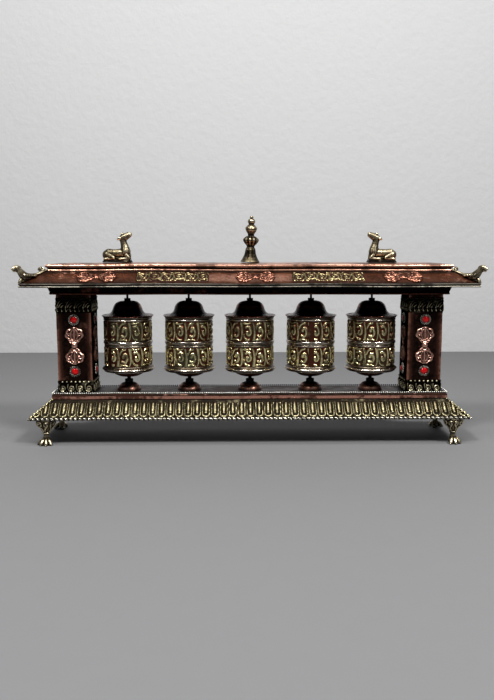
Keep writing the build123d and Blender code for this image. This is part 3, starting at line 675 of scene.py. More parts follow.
def old_metal(
    name, crest, field, recess, rough=(0.20, 0.50), levels=(0.05, 0.35, 0.85), patch=0.5, grime_and_shade=0.85,
    tint=None, sides=0.0, dents=0.5
):
    """Antiqued metal: colours by relief, with oxide patches, rubbed spots, pits, dirt, painted shade and
    dents.

    rough is the roughness of a polished and of a dull spot. levels are the relief where the recess ends,
    the field is full and the crest is full. patch is the share of oxide, and grime is how far small crevices
    darken, with dirt and painted shade. tint is an optional (colour, share) of bloom. sides is how far faces
    turned to the left, right and down are blackened as painted shade; sheltered hollows also get painted
    shade."""
    material, tree, surface = shader(name)
    position = surface_position(tree)
    relief = add(tree, "ShaderNodeAttribute", attribute_name="relief").outputs["Fac"]
    large = noise(tree, position, 46.0, 4.0)
    medium = noise(tree, position, 210.0, 6.0, 0.62)
    fine = noise(tree, position, 1300.0, 4.0, 0.6)
    uneven = maths(tree, "MULTIPLY", maths(tree, "SUBTRACT", medium, 0.5), 0.7)
    worn = maths(tree, "ADD", relief, uneven)
    colour = blend_colour(tree, ramp(tree, worn, levels[0], levels[1]), recess, field)
    colour = blend_colour(tree, ramp(tree, worn, levels[1], levels[2]), colour, crest)
    mottle = maths(tree, "ADD", maths(tree, "MULTIPLY", large, 0.55), maths(tree, "MULTIPLY", medium, 0.45))
    lightened = maths(tree, "SUBTRACT", 1.0, ramp(tree, mottle, 0.30, 0.46))
    colour = blend_colour(tree, maths(tree, "MULTIPLY", lightened, 0.45), colour, crest)
    oxide = ramp(tree, mottle, 0.60 - 0.16 * patch, 0.66 - 0.10 * patch)
    dark = tuple(0.16 * f + 0.5 * r for f, r in zip(field, recess))
    colour = blend_colour(tree, maths(tree, "MULTIPLY", oxide, 0.82), colour, dark)
    if tint:
        bloom = ramp(tree, noise(tree, position, 34.0, 5.0), 0.60 - 0.2 * tint[1], 0.68)
        colour = blend_colour(tree, maths(tree, "MULTIPLY", bloom, 0.6), colour, tint[0])
    pits = maths(tree, "MULTIPLY", ramp(tree, fine, 0.58, 0.68), 0.55)
    colour = blend_colour(tree, pits, colour, dark)
    crevice = add(tree, "ShaderNodeAmbientOcclusion", Distance=0.0020, samples=6).outputs["AO"]
    shelter = add(tree, "ShaderNodeAmbientOcclusion", Distance=0.014, samples=6).outputs["AO"]
    # Small crevices darken to the recess colour: dirt, and painted shade where parts meet.
    crevice_dirt_and_shade = maths(tree, "SUBTRACT", 1.0, ramp(tree, crevice, 0.30, 0.95))
    colour = blend_colour(tree, maths(tree, "MULTIPLY", crevice_dirt_and_shade, grime_and_shade), colour, recess)
    # Hollows sheltered within about 14 mm darken towards a near-black colour: painted shade.
    painted_shade = maths(tree, "SUBTRACT", 1.0, ramp(tree, shelter, 0.15, 0.80))
    painted_shade = maths(tree, "MULTIPLY", painted_shade, 0.8)
    # Faces turned to the left, right or down are darkened by sides: painted shade.
    if sides:
        geometry = add(tree, "ShaderNodeNewGeometry")
        normal = add(tree, "ShaderNodeSeparateXYZ", Vector=geometry.outputs["True Normal"])
        front = maths(tree, "ABSOLUTE", normal.outputs["Y"])
        facing = maths(tree, "ADD", front, maths(tree, "MULTIPLY", normal.outputs["Z"], 0.9))
        side_shade = maths(tree, "SUBTRACT", 1.0, ramp(tree, facing, 0.05, 0.5))
        painted_shade = maths(tree, "MAXIMUM", painted_shade, maths(tree, "MULTIPLY", side_shade, sides))
    shade_colour = tuple(0.3 * r for r in recess)
    colour = blend_colour(tree, painted_shade, colour, shade_colour)
    tree.links.new(colour, surface.inputs["Base Color"])
    # Where the painted shade is, the specular tint is dimmed and the roughness raised, so the reflections are
    # shaded too.
    edge = blend_colour(tree, painted_shade, (1.0, 1.0, 1.0), (0.06, 0.055, 0.05))
    tree.links.new(edge, surface.inputs["Specular Tint"])
    surface.inputs["Metallic"].default_value = 1.0
    dull = maths(tree, "SUBTRACT", 1.0, ramp(tree, worn, levels[1], levels[2]))
    dull = maths(tree, "ADD", maths(tree, "MULTIPLY", dull, 0.55), maths(tree, "MULTIPLY", fine, 0.45))
    roughness = maths(tree, "ADD", maths(tree, "MULTIPLY", dull, rough[1] - rough[0]), rough[0])
    roughness = maths(tree, "ADD", roughness, maths(tree, "MULTIPLY", oxide, 0.16))
    roughness = maths(tree, "ADD", roughness, maths(tree, "MULTIPLY", painted_shade, 0.3), clamp=True)
    tree.links.new(roughness, surface.inputs["Roughness"])
    hammered = maths(tree, "ADD", maths(tree, "MULTIPLY", medium, 0.8), maths(tree, "MULTIPLY", fine, 0.2))
    tree.links.new(bump(tree, hammered, dents, 0.0006), surface.inputs["Normal"])
    return material


def stone_material():
    """Polished stone with faint clouds."""
    material, tree, surface = shader("red_stone")
    position = surface_position(tree)
    cloud = noise(tree, position, 420.0, 4.0)
    colour = blend_colour(tree, ramp(tree, cloud, 0.35, 0.7), (0.58, 0.004, 0.005), (0.36, 0.001, 0.003))
    tree.links.new(colour, surface.inputs["Base Color"])
    surface.inputs["Roughness"].default_value = 0.14
    surface.inputs["Specular IOR Level"].default_value = 0.4
    tree.links.new(bump(tree, cloud, 0.08, 0.0002), surface.inputs["Normal"])
    return material


def paper_material():
    """Aged paper with fibres and stains."""
    material, tree, surface = shader("scroll_paper")
    position = surface_position(tree)
    fibre = noise(tree, position, 900.0, 6.0, 0.7)
    stain = noise(tree, position, 70.0, 4.0)
    colour = blend_colour(tree, ramp(tree, fibre, 0.35, 0.7), (0.70, 0.60, 0.42), (0.58, 0.47, 0.30))
    colour = blend_colour(tree, ramp(tree, stain, 0.55, 0.75), colour, (0.42, 0.31, 0.17))
    tree.links.new(colour, surface.inputs["Base Color"])
    surface.inputs["Roughness"].default_value = 0.85
    tree.links.new(bump(tree, fibre, 0.3, 0.0001), surface.inputs["Normal"])
    return material


def matte(name, colour, scale, spread=0.04, roughness=0.75, grain=0.25, sheen=0.4):
    """Painted board or wall plaster for the stage."""
    material, tree, surface = shader(name)
    position = add(tree, "ShaderNodeTexCoord").outputs["Object"]
    grainy = noise(tree, position, scale, 8.0, 0.6)
    darker = tuple(c * (1 - spread) for c in colour)
    tree.links.new(blend_colour(tree, grainy, darker, colour), surface.inputs["Base Color"])
    surface.inputs["Roughness"].default_value = roughness
    tree.links.new(bump(tree, grainy, grain, 0.002), surface.inputs["Normal"])
    surface.inputs["Specular IOR Level"].default_value = sheen
    return material


COPPER = old_metal(
    "antiqued_copper", (0.60, 0.27, 0.185), (0.085, 0.034, 0.024), (0.009, 0.006, 0.005),
    levels=(0.05, 0.42, 0.95), patch=0.8, sides=0.9,
)
DRUM_COPPER = old_metal(
    "drum_copper", (0.50, 0.20, 0.13), (0.17, 0.055, 0.034), (0.010, 0.006, 0.005),
    levels=(0.05, 0.42, 0.95),
)
DECK_COPPER = old_metal(
    "deck_copper", (0.80, 0.38, 0.28), (0.22, 0.08, 0.052), (0.012, 0.008, 0.006),
    levels=(0.12, 0.40, 0.75), patch=0.8, sides=0.6,
)
ROOF_COPPER = old_metal(
    "roof_copper", (0.82, 0.43, 0.30), (0.12, 0.041, 0.020), (0.012, 0.007, 0.005),
    levels=(0.10, 0.50, 0.9), patch=0.75, sides=0.8,
)
STAMPED_COPPER = old_metal(
    "stamped_copper", (0.88, 0.50, 0.39), (0.13, 0.05, 0.036), (0.008, 0.005, 0.004),
    levels=(0.16, 0.46, 0.85), patch=0.4, sides=0.8,
)
ROOF_STAMP = old_metal(
    "roof_stamping", (0.40, 0.175, 0.115), (0.10, 0.034, 0.020), (0.006, 0.004, 0.003),
    levels=(0.20, 0.45, 0.85), patch=0.4, sides=0.8,
)
# Near-black copper of the board under the eave; its darkness is painted shade under the roof.
SOFFIT_SHADE_COPPER = old_metal(
    "soffit_copper_painted_shade", (0.13, 0.045, 0.03), (0.008, 0.004, 0.0035),
    (0.002, 0.0015, 0.0015), rough=(0.14, 0.34),
)
# Dark copper of the drum domes, its near-black field made darker still as painted shade under the roof.
DOME_COPPER = old_metal(
    "dome_copper", (0.40, 0.14, 0.10), (0.016, 0.006, 0.005), (0.003, 0.002, 0.002),
    levels=(0.05, 0.45, 0.95), rough=(0.10, 0.26), dents=0.8,
)
BOSS_COPPER = old_metal(
    "boss_copper", (0.36, 0.18, 0.13), (0.06, 0.028, 0.019), (0.006, 0.004, 0.003),
    levels=(0.05, 0.4, 0.85), patch=0.7,
)
BRASS = old_metal(
    "antiqued_brass", (0.43, 0.375, 0.22), (0.10, 0.08, 0.042), (0.012, 0.010, 0.007),
    levels=(0.04, 0.34, 0.85), patch=0.35, grime_and_shade=0.75, sides=0.4, rough=(0.24, 0.48),
)
DARK_BRASS = old_metal(
    "blackened_brass", (0.80, 0.71, 0.46), (0.04, 0.03, 0.018), (0.004, 0.003, 0.0025),
    levels=(0.25, 0.5, 0.95), patch=0.45, sides=0.85,
)
CAST_BRASS = old_metal(
    "cast_brass", (0.72, 0.62, 0.42), (0.12, 0.095, 0.055), (0.008, 0.006, 0.004),
    levels=(0.34, 0.52, 0.82), patch=0.65,
)
WHITE_METAL = old_metal(
    "white_metal", (0.94, 0.83, 0.70), (0.12, 0.092, 0.062), (0.007, 0.005, 0.004),
    levels=(0.30, 0.52, 0.85), patch=0.6, tint=((0.13, 0.095, 0.05), 0.5), rough=(0.12, 0.34),
)
ROPE_METAL = old_metal(
    "rope_metal", (0.44, 0.41, 0.34), (0.085, 0.075, 0.06), (0.010, 0.009, 0.007),
    levels=(0.15, 0.40, 0.75), patch=0.15, grime_and_shade=0.8, rough=(0.18, 0.4),
)
BEAD_METAL = old_metal(
    "bead_metal", (0.96, 0.93, 0.86), (0.05, 0.04, 0.03), (0.006, 0.005, 0.004),
    levels=(0.15, 0.30, 0.55), patch=0.0, grime_and_shade=0.3, rough=(0.36, 0.5),
)
BEZEL_METAL = old_metal(
    "bezel_metal", (0.86, 0.79, 0.68), (0.06, 0.048, 0.034), (0.005, 0.004, 0.003),
    levels=(0.25, 0.5, 0.85), sides=0.9,
)
EAVE_METAL = old_metal(
    "eave_metal", (0.155, 0.142, 0.115), (0.10, 0.09, 0.073), (0.008, 0.006, 0.005),
    levels=(0.15, 0.5, 0.95), patch=0.8, sides=0.5, rough=(0.38, 0.6),
)
DRUM_RELIEF = old_metal(
    "drum_relief", (0.98, 0.86, 0.46), (0.010, 0.007, 0.005), (0.12, 0.038, 0.022),
    levels=(0.20, 0.30, 0.68), patch=0.5, grime_and_shade=0.5, tint=((0.085, 0.115, 0.07), 0.5), rough=(0.16, 0.40),
)
STRIP_RELIEF = old_metal(
    "strip_relief", (0.34, 0.28, 0.14), (0.012, 0.009, 0.006), (0.07, 0.028, 0.018),
    levels=(0.18, 0.28, 0.85), patch=0.5, grime_and_shade=0.5,
)
STEEL = old_metal(
    "dull_steel", (0.10, 0.095, 0.09), (0.025, 0.023, 0.021), (0.01, 0.01, 0.01),
    rough=(0.30, 0.5), patch=0.4,
)
RED_STONE = stone_material()
PAPER = paper_material()


# ---------------------------------------------------------------- base

skirt_low, skirt_high = box_mm("base_skirt")
deck_low, deck_high = box_mm("base_deck")
ROPE_R = 1.45
TRAY = (deck_high[0], deck_high[1])
SKIRT = (skirt_high[0] - 2 * ROPE_R + 0.4, skirt_high[1] - 2 * ROPE_R + 0.4)
SKIRT_FOOT_Z = skirt_low[2] + ROPE_R * 0.3
ROPE_PITCH = 4.15
PETAL_PITCH, PETAL_SOLE, PETAL_HEAD = 8.0, 2.3, 17.8
BEAD_PITCH, BEAD_R = 1.95, 0.70
BASE_DENTS = (0.22, 60.0, 11)


def rope(half, z, radius, pitch):
    """Twisted cord round a rectangle."""
    x, y, side = rect_path(*half, 0.5)
    along = along_sides(side, x * half[0], y * half[1])
    turn = (np.arange(12) * TAU / 12)[:, None]
    strand = np.abs(np.sin(math.pi * along / pitch + turn / 2))
    swell = radius * (0.60 + 0.42 * strand)
    out, height = swell * np.cos(turn), z + swell * np.sin(turn)
    grid = np.stack([x * half[0] + end_sign(x) * out, y * half[1] + end_sign(y) * out, height], -1)
    return grid_solid(wobble(grid, *BASE_DENTS), strand**1.5, wrap_rows=True)


def hip_cords():
    """Leafy cords up the four corners of the skirt."""
    cords = []
    for x_side, y_side in CORNERS:
        start = np.array([x_side * SKIRT[0], y_side * SKIRT[1], SKIRT_FOOT_Z + 0.6])
        end = np.array([x_side * TRAY[0], y_side * TRAY[1], deck_low[2] + 0.4])
        for k, share in enumerate(np.linspace(0, 1, 15)):
            lean = 0.55 if k % 2 else -0.55
            centre = start + (end - start) * share + [x_side * lean, -y_side * lean, 0.5]
            cords.append(ball(centre, 1.35 - 0.3 * share))
    return cast(joined(cords), voxel=0.3, smooth=2)


def build_base():
    def skirt_field(along, up):
        return 1.3 * petals(along, up, PETAL_PITCH, PETAL_SOLE, PETAL_HEAD)

    skirt = relief_wall(SKIRT, TRAY, SKIRT_FOOT_Z, deck_low[2] + 0.6, skirt_field, 0.55, dents=BASE_DENTS)
    make_piece("skirt_petals", skirt, BRASS, "base_skirt")
    cord = rope((SKIRT[0] + 0.6, SKIRT[1] + 0.6), skirt_low[2] + 0.55, ROPE_R, ROPE_PITCH)
    make_piece("skirt_rope", cord, ROPE_METAL)
    make_piece("skirt_hip_cords", hip_cords(), BRASS)
    z0, z1 = deck_low[2], deck_high[2]
    profile = [
        (-TRAY[1], z1, 0), (-3.0, z1, 0), (-0.9, z1 - 0.1, 0.3), (0.0, z1 - 1.2, 0.6),
        (0.25, z1 - 2.0, 0.4), (0.05, z0 + 1.2, 0.4), (-0.9, z0 + 0.9, 0.2), (-0.9, z0, 0.2),
        (-1.9, z0, 0.2), (-1.9, z1 - 1.2, 0.2), (-TRAY[1], z1 - 1.2, 0),
    ]

    # The middle of the tray's face is rubbed bright. The rest is dark with tarnish, and along the top edge
    # under the beads the dark colour is painted shade.
    def rubbed_face_shaded_edges(z, _):
        return 0.85 if z0 + 1.0 < z < z1 - 2.3 else 0.02

    rows = lid_rows(profile, TRAY, 2.2, rubbed_face_shaded_edges)
    tray = rect_sweep(rows, 2.6, closed=False, dents=BASE_DENTS)
    make_piece("deck_tray", tray, DECK_COPPER, "base_deck", weld=0.01)
    bead_low, _ = box_mm("deck_beading")
    beads = bead_row((TRAY[0] - 0.1, TRAY[1] - 0.1), bead_low[2] + 0.45, BEAD_PITCH, BEAD_R)
    # The rear half of the bead row is coloured dark as painted shade; the rest gets the crest colour.
    beads.relief = np.where(beads.verts[:, 1] > 0.6 * TRAY[1], 0.0, 1.0)
    beads.verts = wobble(beads.verts, *BASE_DENTS)
    make_piece("deck_beads", beads, BEAD_METAL, "deck_beading")


def paw_foot():
    """One lion's paw under a flared acanthus block, about its own axis, its toes towards -Y."""
    top = skirt_low[2]
    parts = [
        chain([(0, 0.6, 3.2, 3.1), (0, 0.2, 5.6, 2.9), (0, 0, 8.2, 2.5), (0, 0, 10.6, 2.4)]),
        chain([(0, 0, 10.6, 2.4), (0, 0, 13.5, 2.9), (0, 0, 17.0, 3.6)]),
        chain([(0, 1.8, 1.9, 2.1), (0, 3.0, 1.6, 1.6)]),
    ]
    toe = [(1.8, 5.2, 1.5), (4.4, 3.9, 1.75), (6.0, 1.9, 1.7)]
    claw = [(6.9, 1.3, 0.9), (7.7, 0.8, 0.55)]
    for angle in (-60, -21, 21, 60):
        x, y = math.sin(math.radians(angle)), -math.cos(math.radians(angle))
        parts += [chain([(x * out, y * out, z, r) for out, z, r in points]) for points in (toe, claw)]
    turns = np.linspace(0, TAU, 17)
    parts.append(chain([(2.7 * math.cos(a), 2.7 * math.sin(a), 10.9, 0.75) for a in turns]))
    neck_z = 12.2

    def block_half(share):
        return 2.7 + 4.5 * math.sin(share * math.pi / 2) ** 0.9

    block = []
    for share in np.linspace(0, 1, 9):
        corner = 2.0 + 2.5 * share
        angle = np.arange(40) * TAU / 40
        c, s = np.cos(angle), np.sin(angle)
        reach = block_half(share) / (np.abs(c) ** corner + np.abs(s) ** corner) ** (1 / corner)
        block.append(np.stack([reach * c, reach * s, neck_z + (top - neck_z) * share * np.ones(40)], -1))
    parts.append(grid_solid(np.array(block), None, caps=True))
    for turn in range(4):
        for mirror in (-1, 1):
            curl = spiral((mirror * 3.3, 19.4), 2.4, 0.9, 90 - mirror * 40, 90 + mirror * 400, count=20)
            stem = curve((mirror * 0.7, neck_z + 0.4), (mirror * 0.9, 16.0), (mirror * 3.2, 17.0))
            for points, size in ((curl, 0.62), (stem, 0.7)):
                raised = [(x, -0.2 - block_half((z - neck_z) / (top - neck_z)), z, size) for x, z in points]
                parts.append(chain(raised).moved(Matrix.Rotation(turn * TAU / 4, 4, "Z")))
    foot = cast(joined(parts), voxel=0.28, smooth=2)
    foot.verts[:, 2] = np.clip(foot.verts[:, 2], 0.0, top)
    return foot


def build_feet():
    foot = paw_foot()
    _, high = box_mm("hex_nuts")
    nut_flats = 4.0
    x, y = high[0] - nut_flats / math.sqrt(3), high[1] - nut_flats / 2
    turns = {(-1, -1): -14, (1, -1): 32, (-1, 1): -150, (1, 1): 150}
    feet = []
    for (x_side, y_side), turn in turns.items():
        place = Matrix.Translation((x_side * x, y_side * y, 0))
        feet.append(foot.moved(place @ Matrix.Rotation(math.radians(turn), 4, "Z")))
    make_piece("paw_feet", joined(feet), CAST_BRASS, "lion_feet")


# ---------------------------------------------------------------- pillars

PLINTH_TALL, CAPITAL_TALL = 11.4, 13.6
BEZEL_R = 4.9


def volutes(along, up, width, height):
    """Snail-shell scrolls side by side, each with a small leaf."""
    k = min(width / 7.8, height / 7.4)
    strokes = [
        (spiral((0.1, -0.1), 2.9, 0.9, -150, 330), 0.5, 0.8),
        (curve((-2.6, -1.6), (-3.6, 1.6), (-2.9, 3.3)), 0.35, 0.75),
        ([(3.5, -2.9), (3.5, -2.88)], 0.7, 0.7),
        dot(0.1, -0.1, 0.8),
    ]
    return stroke_height(along % width - width / 2, up, scaled(strokes, k, k, k))


def flame_leaves(along, up, width, height):
    """Slanted leaves, each curling over two drops that hang from the band."""
    k, h = width / 8.0, height / 10.0
    strokes = [
        (curve((-3.0, -1.6), (-1.8, 3.6), (1.2, 4.4)), 0.8, 0.5),
        (curve((-1.2, -0.9), (0.2, 1.8), (2.8, 2.6)), 0.75, 0.45),
        (curve((0.9, -1.5), (2.0, 0.2), (3.9, 0.9)), 0.7, 0.4),
        (spiral((-2.6, 3.3), 1.0, 0.4, 0, 300, k / h, 10), 0.4, 0.5),
        ([(-3.0, -2.6), (-2.3, -4.3)], 0.45, 0.85),
        ([(1.0, -2.6), (1.7, -4.3)], 0.45, 0.85),
        ([(-0.9, -2.9), (-0.5, -3.6)], 0.3, 0.45),
        ([(3.0, -2.9), (3.4, -3.6)], 0.3, 0.45),
    ]
    leaf = scaled(strokes, k, h, k)
    x = along % width - width / 2
    return np.maximum.reduce([stroke_height(x - shift, up, leaf) for shift in (-width, 0.0, width)])


def pillar_band(low_z, high_z, node, is_plinth):
    """Embossed band round a pillar: volutes under a bead row at its foot, flame leaves at its head."""
    half = tuple(size + 0.25 for size in half_mm(node))
    centre = centre_mm(node)[0]
    tall = high_z - low_z
    tile = half[0] / 2

    def field(along, up):
        if is_plinth:
            ornament = volutes(along, up - (tall - 2.6) / 2, tile, tall - 3.2)
            trim = bead_line(along, up, tall - 1.15, tile / 2, 1.12)
        else:
            ornament = flame_leaves(along, up - tall / 2 + 0.4, tile, tall - 2.6)
            ornament = ornament * np.clip(1.2 - 0.85 * up / tall, 0, 1)
            trim = 0.6 * bead_line(along, up, tall - 1.0, tile / 6, 0.55)
        return 1.15 * np.maximum(ornament, trim)

    dents = (0.15, 12.0, 71 if centre < 0 else 72)
    return relief_wall(half, half, low_z, high_z, field, 0.42, back=0.2, centre=(centre, 0.0), dents=dents)


def on_faces(node, z, solid):
    """Copies a solid in the XY plane onto the four faces of a pillar at a height, its Y axis up."""
    out = Matrix.Translation((0, -half_mm(node)[1], z)) @ Matrix.Rotation(math.pi / 2, 4, "X")
    middle = Matrix.Translation((centre_mm(node)[0], 0, 0))
    return [solid.moved(middle @ Matrix.Rotation(k * TAU / 4, 4, "Z") @ out) for k in range(4)]


def bezel():
    """Scalloped cup with a beaded ring, flat on the XY plane."""
    profile = [(3.2, 0.0, 0.1), (4.4, 0.0, 0.1), (4.2, 1.0, 0.3), (3.75, 1.75, 0.25), (3.35, 1.6, 0.15)]
    cup = lathe(profile, 36)
    turns = np.arange(18) * TAU / 18
    beads = [ball((4.5 * math.cos(a), 4.5 * math.sin(a), 0.55), 0.62, 8, 5) for a in turns]
    return joined([cup] + beads)


def build_pillars():
    band_low, band_high = box_mm("pillar_bands")
    dorje_low, dorje_high = box_mm("pillar_dorjes")
    bezel_low, bezel_high = box_mm("stone_bezels")
    size = dorje_high[2] - dorje_low[2], 17.0
    thunderbolt = cut_plate(
        *size, lambda x, y: dorje_inside(x, y, *size), lambda x, y: dorje_field(x, y, *size)
    )
    thunderbolt = thunderbolt.moved(Matrix.Rotation(math.pi / 2, 4, "Z"))
    dome = [
        (0.05, 2.45, 0), (1.2, 2.35, 0.8), (2.6, 1.75, 1.0), (3.28, 0.8, 0.6), (3.28, 0.3, 0),
        (0.05, 0.3, 0),
    ]
    stone = lathe(dome, 32, step=0.5, closed=False)
    setting = bezel()
    bands, bolts, bezels, stones = [], [], [], []
    for node, seed in (("pillar_left", 21), ("pillar_right", 22)):
        low, high = box_mm(node)
        half, centre = half_mm(node), centre_mm(node)[0]
        profile = [(0, low[2], 0.2), (0, high[2], 0.2), (-1.0, high[2], 0.2), (-1.0, low[2], 0.2)]
        rows = rect_rows(profile, half, 2.0)
        column = rect_sweep(rows, 1.1, dents=(0.16, 34.0, seed), centre=(centre, 0.0))
        x_share = abs(column.verts[:, 0] - centre) / half[0]
        y_share = abs(column.verts[:, 1]) / half[1]
        near_corner = np.clip((np.minimum(x_share, y_share) - 0.60) / 0.40, 0, 1)
        column.relief[:] = 0.12 + 0.85 * near_corner**1.5
        make_piece(node + "_sheet", column, COPPER, node)
        bands.append(pillar_band(band_low[2], band_low[2] + PLINTH_TALL, node, True))
        bands.append(pillar_band(band_high[2] - CAPITAL_TALL, band_high[2], node, False))
        bolts += on_faces(node, (dorje_low[2] + dorje_high[2]) / 2, thunderbolt)
        for z in (bezel_low[2] + BEZEL_R, bezel_high[2] - BEZEL_R):
            bezels += on_faces(node, z, setting)
            stones += on_faces(node, z, stone)
    make_piece("pillar_scroll_bands", joined(bands), DARK_BRASS, "pillar_bands")
    make_piece("pillar_thunderbolts", joined(bolts), STAMPED_COPPER, "pillar_dorjes")
    make_piece("beaded_bezels", joined(bezels), BEZEL_METAL, "stone_bezels")
    make_piece("red_stones", joined(stones), RED_STONE, "coral_stones")


# ---------------------------------------------------------------- roof

shell_low, shell_high = box_mm("roof_shell")
cap_low, cap_high = box_mm("roof_cap")
strip_low, strip_high = box_mm("eave_strip")
soffit_low, soffit_high = box_mm("roof_soffit")
EAVE = (shell_high[0], shell_high[1])
ROOF_DENTS = (0.42, 85.0, 31)
FASCIA_Z = strip_high[2]
SLOPE_HEAD = (TRAY[0] + 1.0, TRAY[1] + 1.0)
SHEET_STEP = 2.6
STRIP_SIZE = (64.0, 16.0)
PLAQUE_SIZE = (34.4, 16.4)
PLAQUE_X = (-135.0, 4.5, 134.5)


def about(z, change):
    """A change made about a point on the Z axis."""
    move = Matrix.Translation((0, 0, z))
    return move @ change @ move.inverted()


def slope_rows(points, step):
    """Rows for rect_sweep from (height, outward, relief) points whose half sizes follow the slope."""
    rows = []
    for z, out, relief in points:
        share = min(max((z - FASCIA_Z) / (shell_high[2] - FASCIA_Z), 0.0), 1.0)
        half = [eave + (head - eave) * share + out for eave, head in zip(EAVE, SLOPE_HEAD)]
        rows.append((*half, z, relief))
    fine = []
    rows = np.array(rows)
    for a, b in zip(rows, rows[1:]):
        parts = max(1, math.ceil(np.linalg.norm((b - a)[[1, 2]]) / step))
        fine += [a + (b - a) * k / parts for k in range(parts)]
    return fine + [rows[-1]]


def build_slopes():
    head_z = shell_high[2]
    outer = [
        (shell_low[2], 0.0, 0.2), (FASCIA_Z, 0.0, 0.2), (FASCIA_Z + 2.4, 0.0, 0.5),
        (head_z - 2.6, 0.0, 0.5), (head_z - 1.6, 0.0, 0.2), (head_z - 1.1, 0.55, 0.55),
        (head_z - 0.3, 0.6, 0.6), (head_z, 0.1, 0.2),
    ]
    inner = [(head_z, -0.8, 0.3), (FASCIA_Z, -1.0, 0.3), (shell_low[2], -1.0, 0.3)]
    rows = slope_rows(outer, 1.6) + slope_rows(inner, 3.0)
    slopes = rect_sweep(rows, SHEET_STEP, dents=ROOF_DENTS)
    # The slopes are coloured lighter towards their middle along x.
    lightened = np.exp(-((slopes.verts[:, 0] - 8.0) / 70.0) ** 2)
    slopes.relief += 0.26 * lightened - 0.04
    # The moulding at the head of the slopes, under the lid, gets a dark colour as painted shade.
    slopes.relief = np.where(slopes.verts[:, 2] > head_z - 1.4, 0.1, slopes.relief)
    make_piece("roof_slopes", slopes, ROOF_COPPER, "roof_shell")


def build_eave():
    """Two half-round mouldings, one over the other."""
    low_z, high_z = strip_low[2], strip_high[2]
    middle = (low_z + high_z) / 2
    profile = [(0.05, low_z, 0.1)]
    for bottom, top, proud in ((low_z, middle - 0.25, 1.15), (middle + 0.1, high_z, 0.95)):
        centre, radius = (bottom + top) / 2, (top - bottom) / 2
        for t in np.radians(np.linspace(-90, 90, 7)):
            profile.append((0.1 + proud * math.cos(t), centre + radius * math.sin(t), 0.0))
    profile.append((0.05, high_z, 0.1))
    rows = []
    for a, b, z, _ in rect_rows(profile, EAVE):
        crest = 1.0 if z < middle else 0.55
        rows.append((a, b, z, np.clip((a - EAVE[0] - 0.2) / 0.8, 0, 1) * crest))
    make_piece("eave_mouldings", rect_sweep(rows, SHEET_STEP, dents=ROOF_DENTS), EAVE_METAL, "eave_strip")


def build_lid():
    crown = cap_high[2]
    ridge = -TRAY[1] - (cap_high[0] - TRAY[0])
    profile = [
        (ridge, crown, 0), (-6.0, crown - 0.9, 6.0), (-2.0, crown - 1.4, 1.2), (-0.2, crown - 1.7, 0.8),
        (0.1, crown - 3.0, 0.9), (-0.2, crown - 4.0, 0.5), (-1.5, crown - 4.5, 0.3),
        (-1.7, crown - 5.2, 0.5), (-0.9, crown - 6.3, 0.35), (-0.9, cap_low[2], 0.1),
        (-3.4, cap_low[2], 0.2), (-4.2, crown - 3.4, 0.3), (ridge, crown - 2.6, 0),
    ]

    # The cove under the lid's nose gets the recess colour as painted shade.
    def painted_cove_shade(z, relief):
        return 0.0 if crown - 5.6 < z < crown - 4.1 else relief

    rows = lid_rows(profile, (cap_high[0], cap_high[1]), 2.2, painted_cove_shade)
    lid = rect_sweep(rows, SHEET_STEP, closed=False, dents=ROOF_DENTS)
    lid.relief = np.where(lid.relief > 0, lid.relief + 0.25, 0.0)
    make_piece("roof_lid", lid, ROOF_COPPER, "roof_cap", weld=0.01)


def build_soffit():
    z0, z1 = soffit_low[2], soffit_high[2]
    flange = soffit_high[1] - TRAY[1]
    profile = [
        (-TRAY[1], z0, 0), (-1.6, z0, 0), (-0.7, z0, 0.5), (-0.4, z0 + 1.2, 0.5), (-1.0, z0 + 2.0, 0.4),
        (0.9, z1 - 1.0, 0.8), (flange, z1 - 1.0, 0.2), (flange, z1, 0.2), (-2.0, z1, 0.2),
        (-2.0, z0 + 1.0, 0.2), (-TRAY[1], z0 + 1.0, 0),
    ]
    # Everything above the board's bottom face gets the recess colour: painted shade under the eave.
    rows = lid_rows(profile, TRAY, 2.4, lambda z, relief: 0.0 if z > z0 + 1.6 else relief)
    rows = [(min(a, soffit_high[0]), b, z, relief) for a, b, z, relief in rows]
    board = rect_sweep(rows, SHEET_STEP, closed=False, dents=(0.2, 70.0, 31))
    make_piece("soffit_board", board, SOFFIT_SHADE_COPPER, "roof_soffit", weld=0.01)


def build_roof():
    build_slopes()
    build_eave()
    build_lid()
    build_soffit()


def slope_matrix(side, along):
    """Places a plate that lies in the XY plane on a roof slope; side is a unit (x, y), local Y upslope."""
    low = EAVE[0] if side[0] else EAVE[1]
    high = SLOPE_HEAD[0] if side[0] else SLOPE_HEAD[1]
    rise, run = shell_high[2] - FASCIA_Z, low - high
    out = Vector((side[0], side[1], 0))
    across = Vector((-side[1], side[0], 0))
    up = (Vector((0, 0, rise)) - out * run).normalized()
    normal = across.cross(up)
    middle = out * (low + high) / 2 + Vector((0, 0, (shell_high[2] + FASCIA_Z) / 2))
    matrix = Matrix((across, up, normal)).transposed().to_4x4()
    matrix.translation = middle + across * along + normal * 0.1
    return matrix


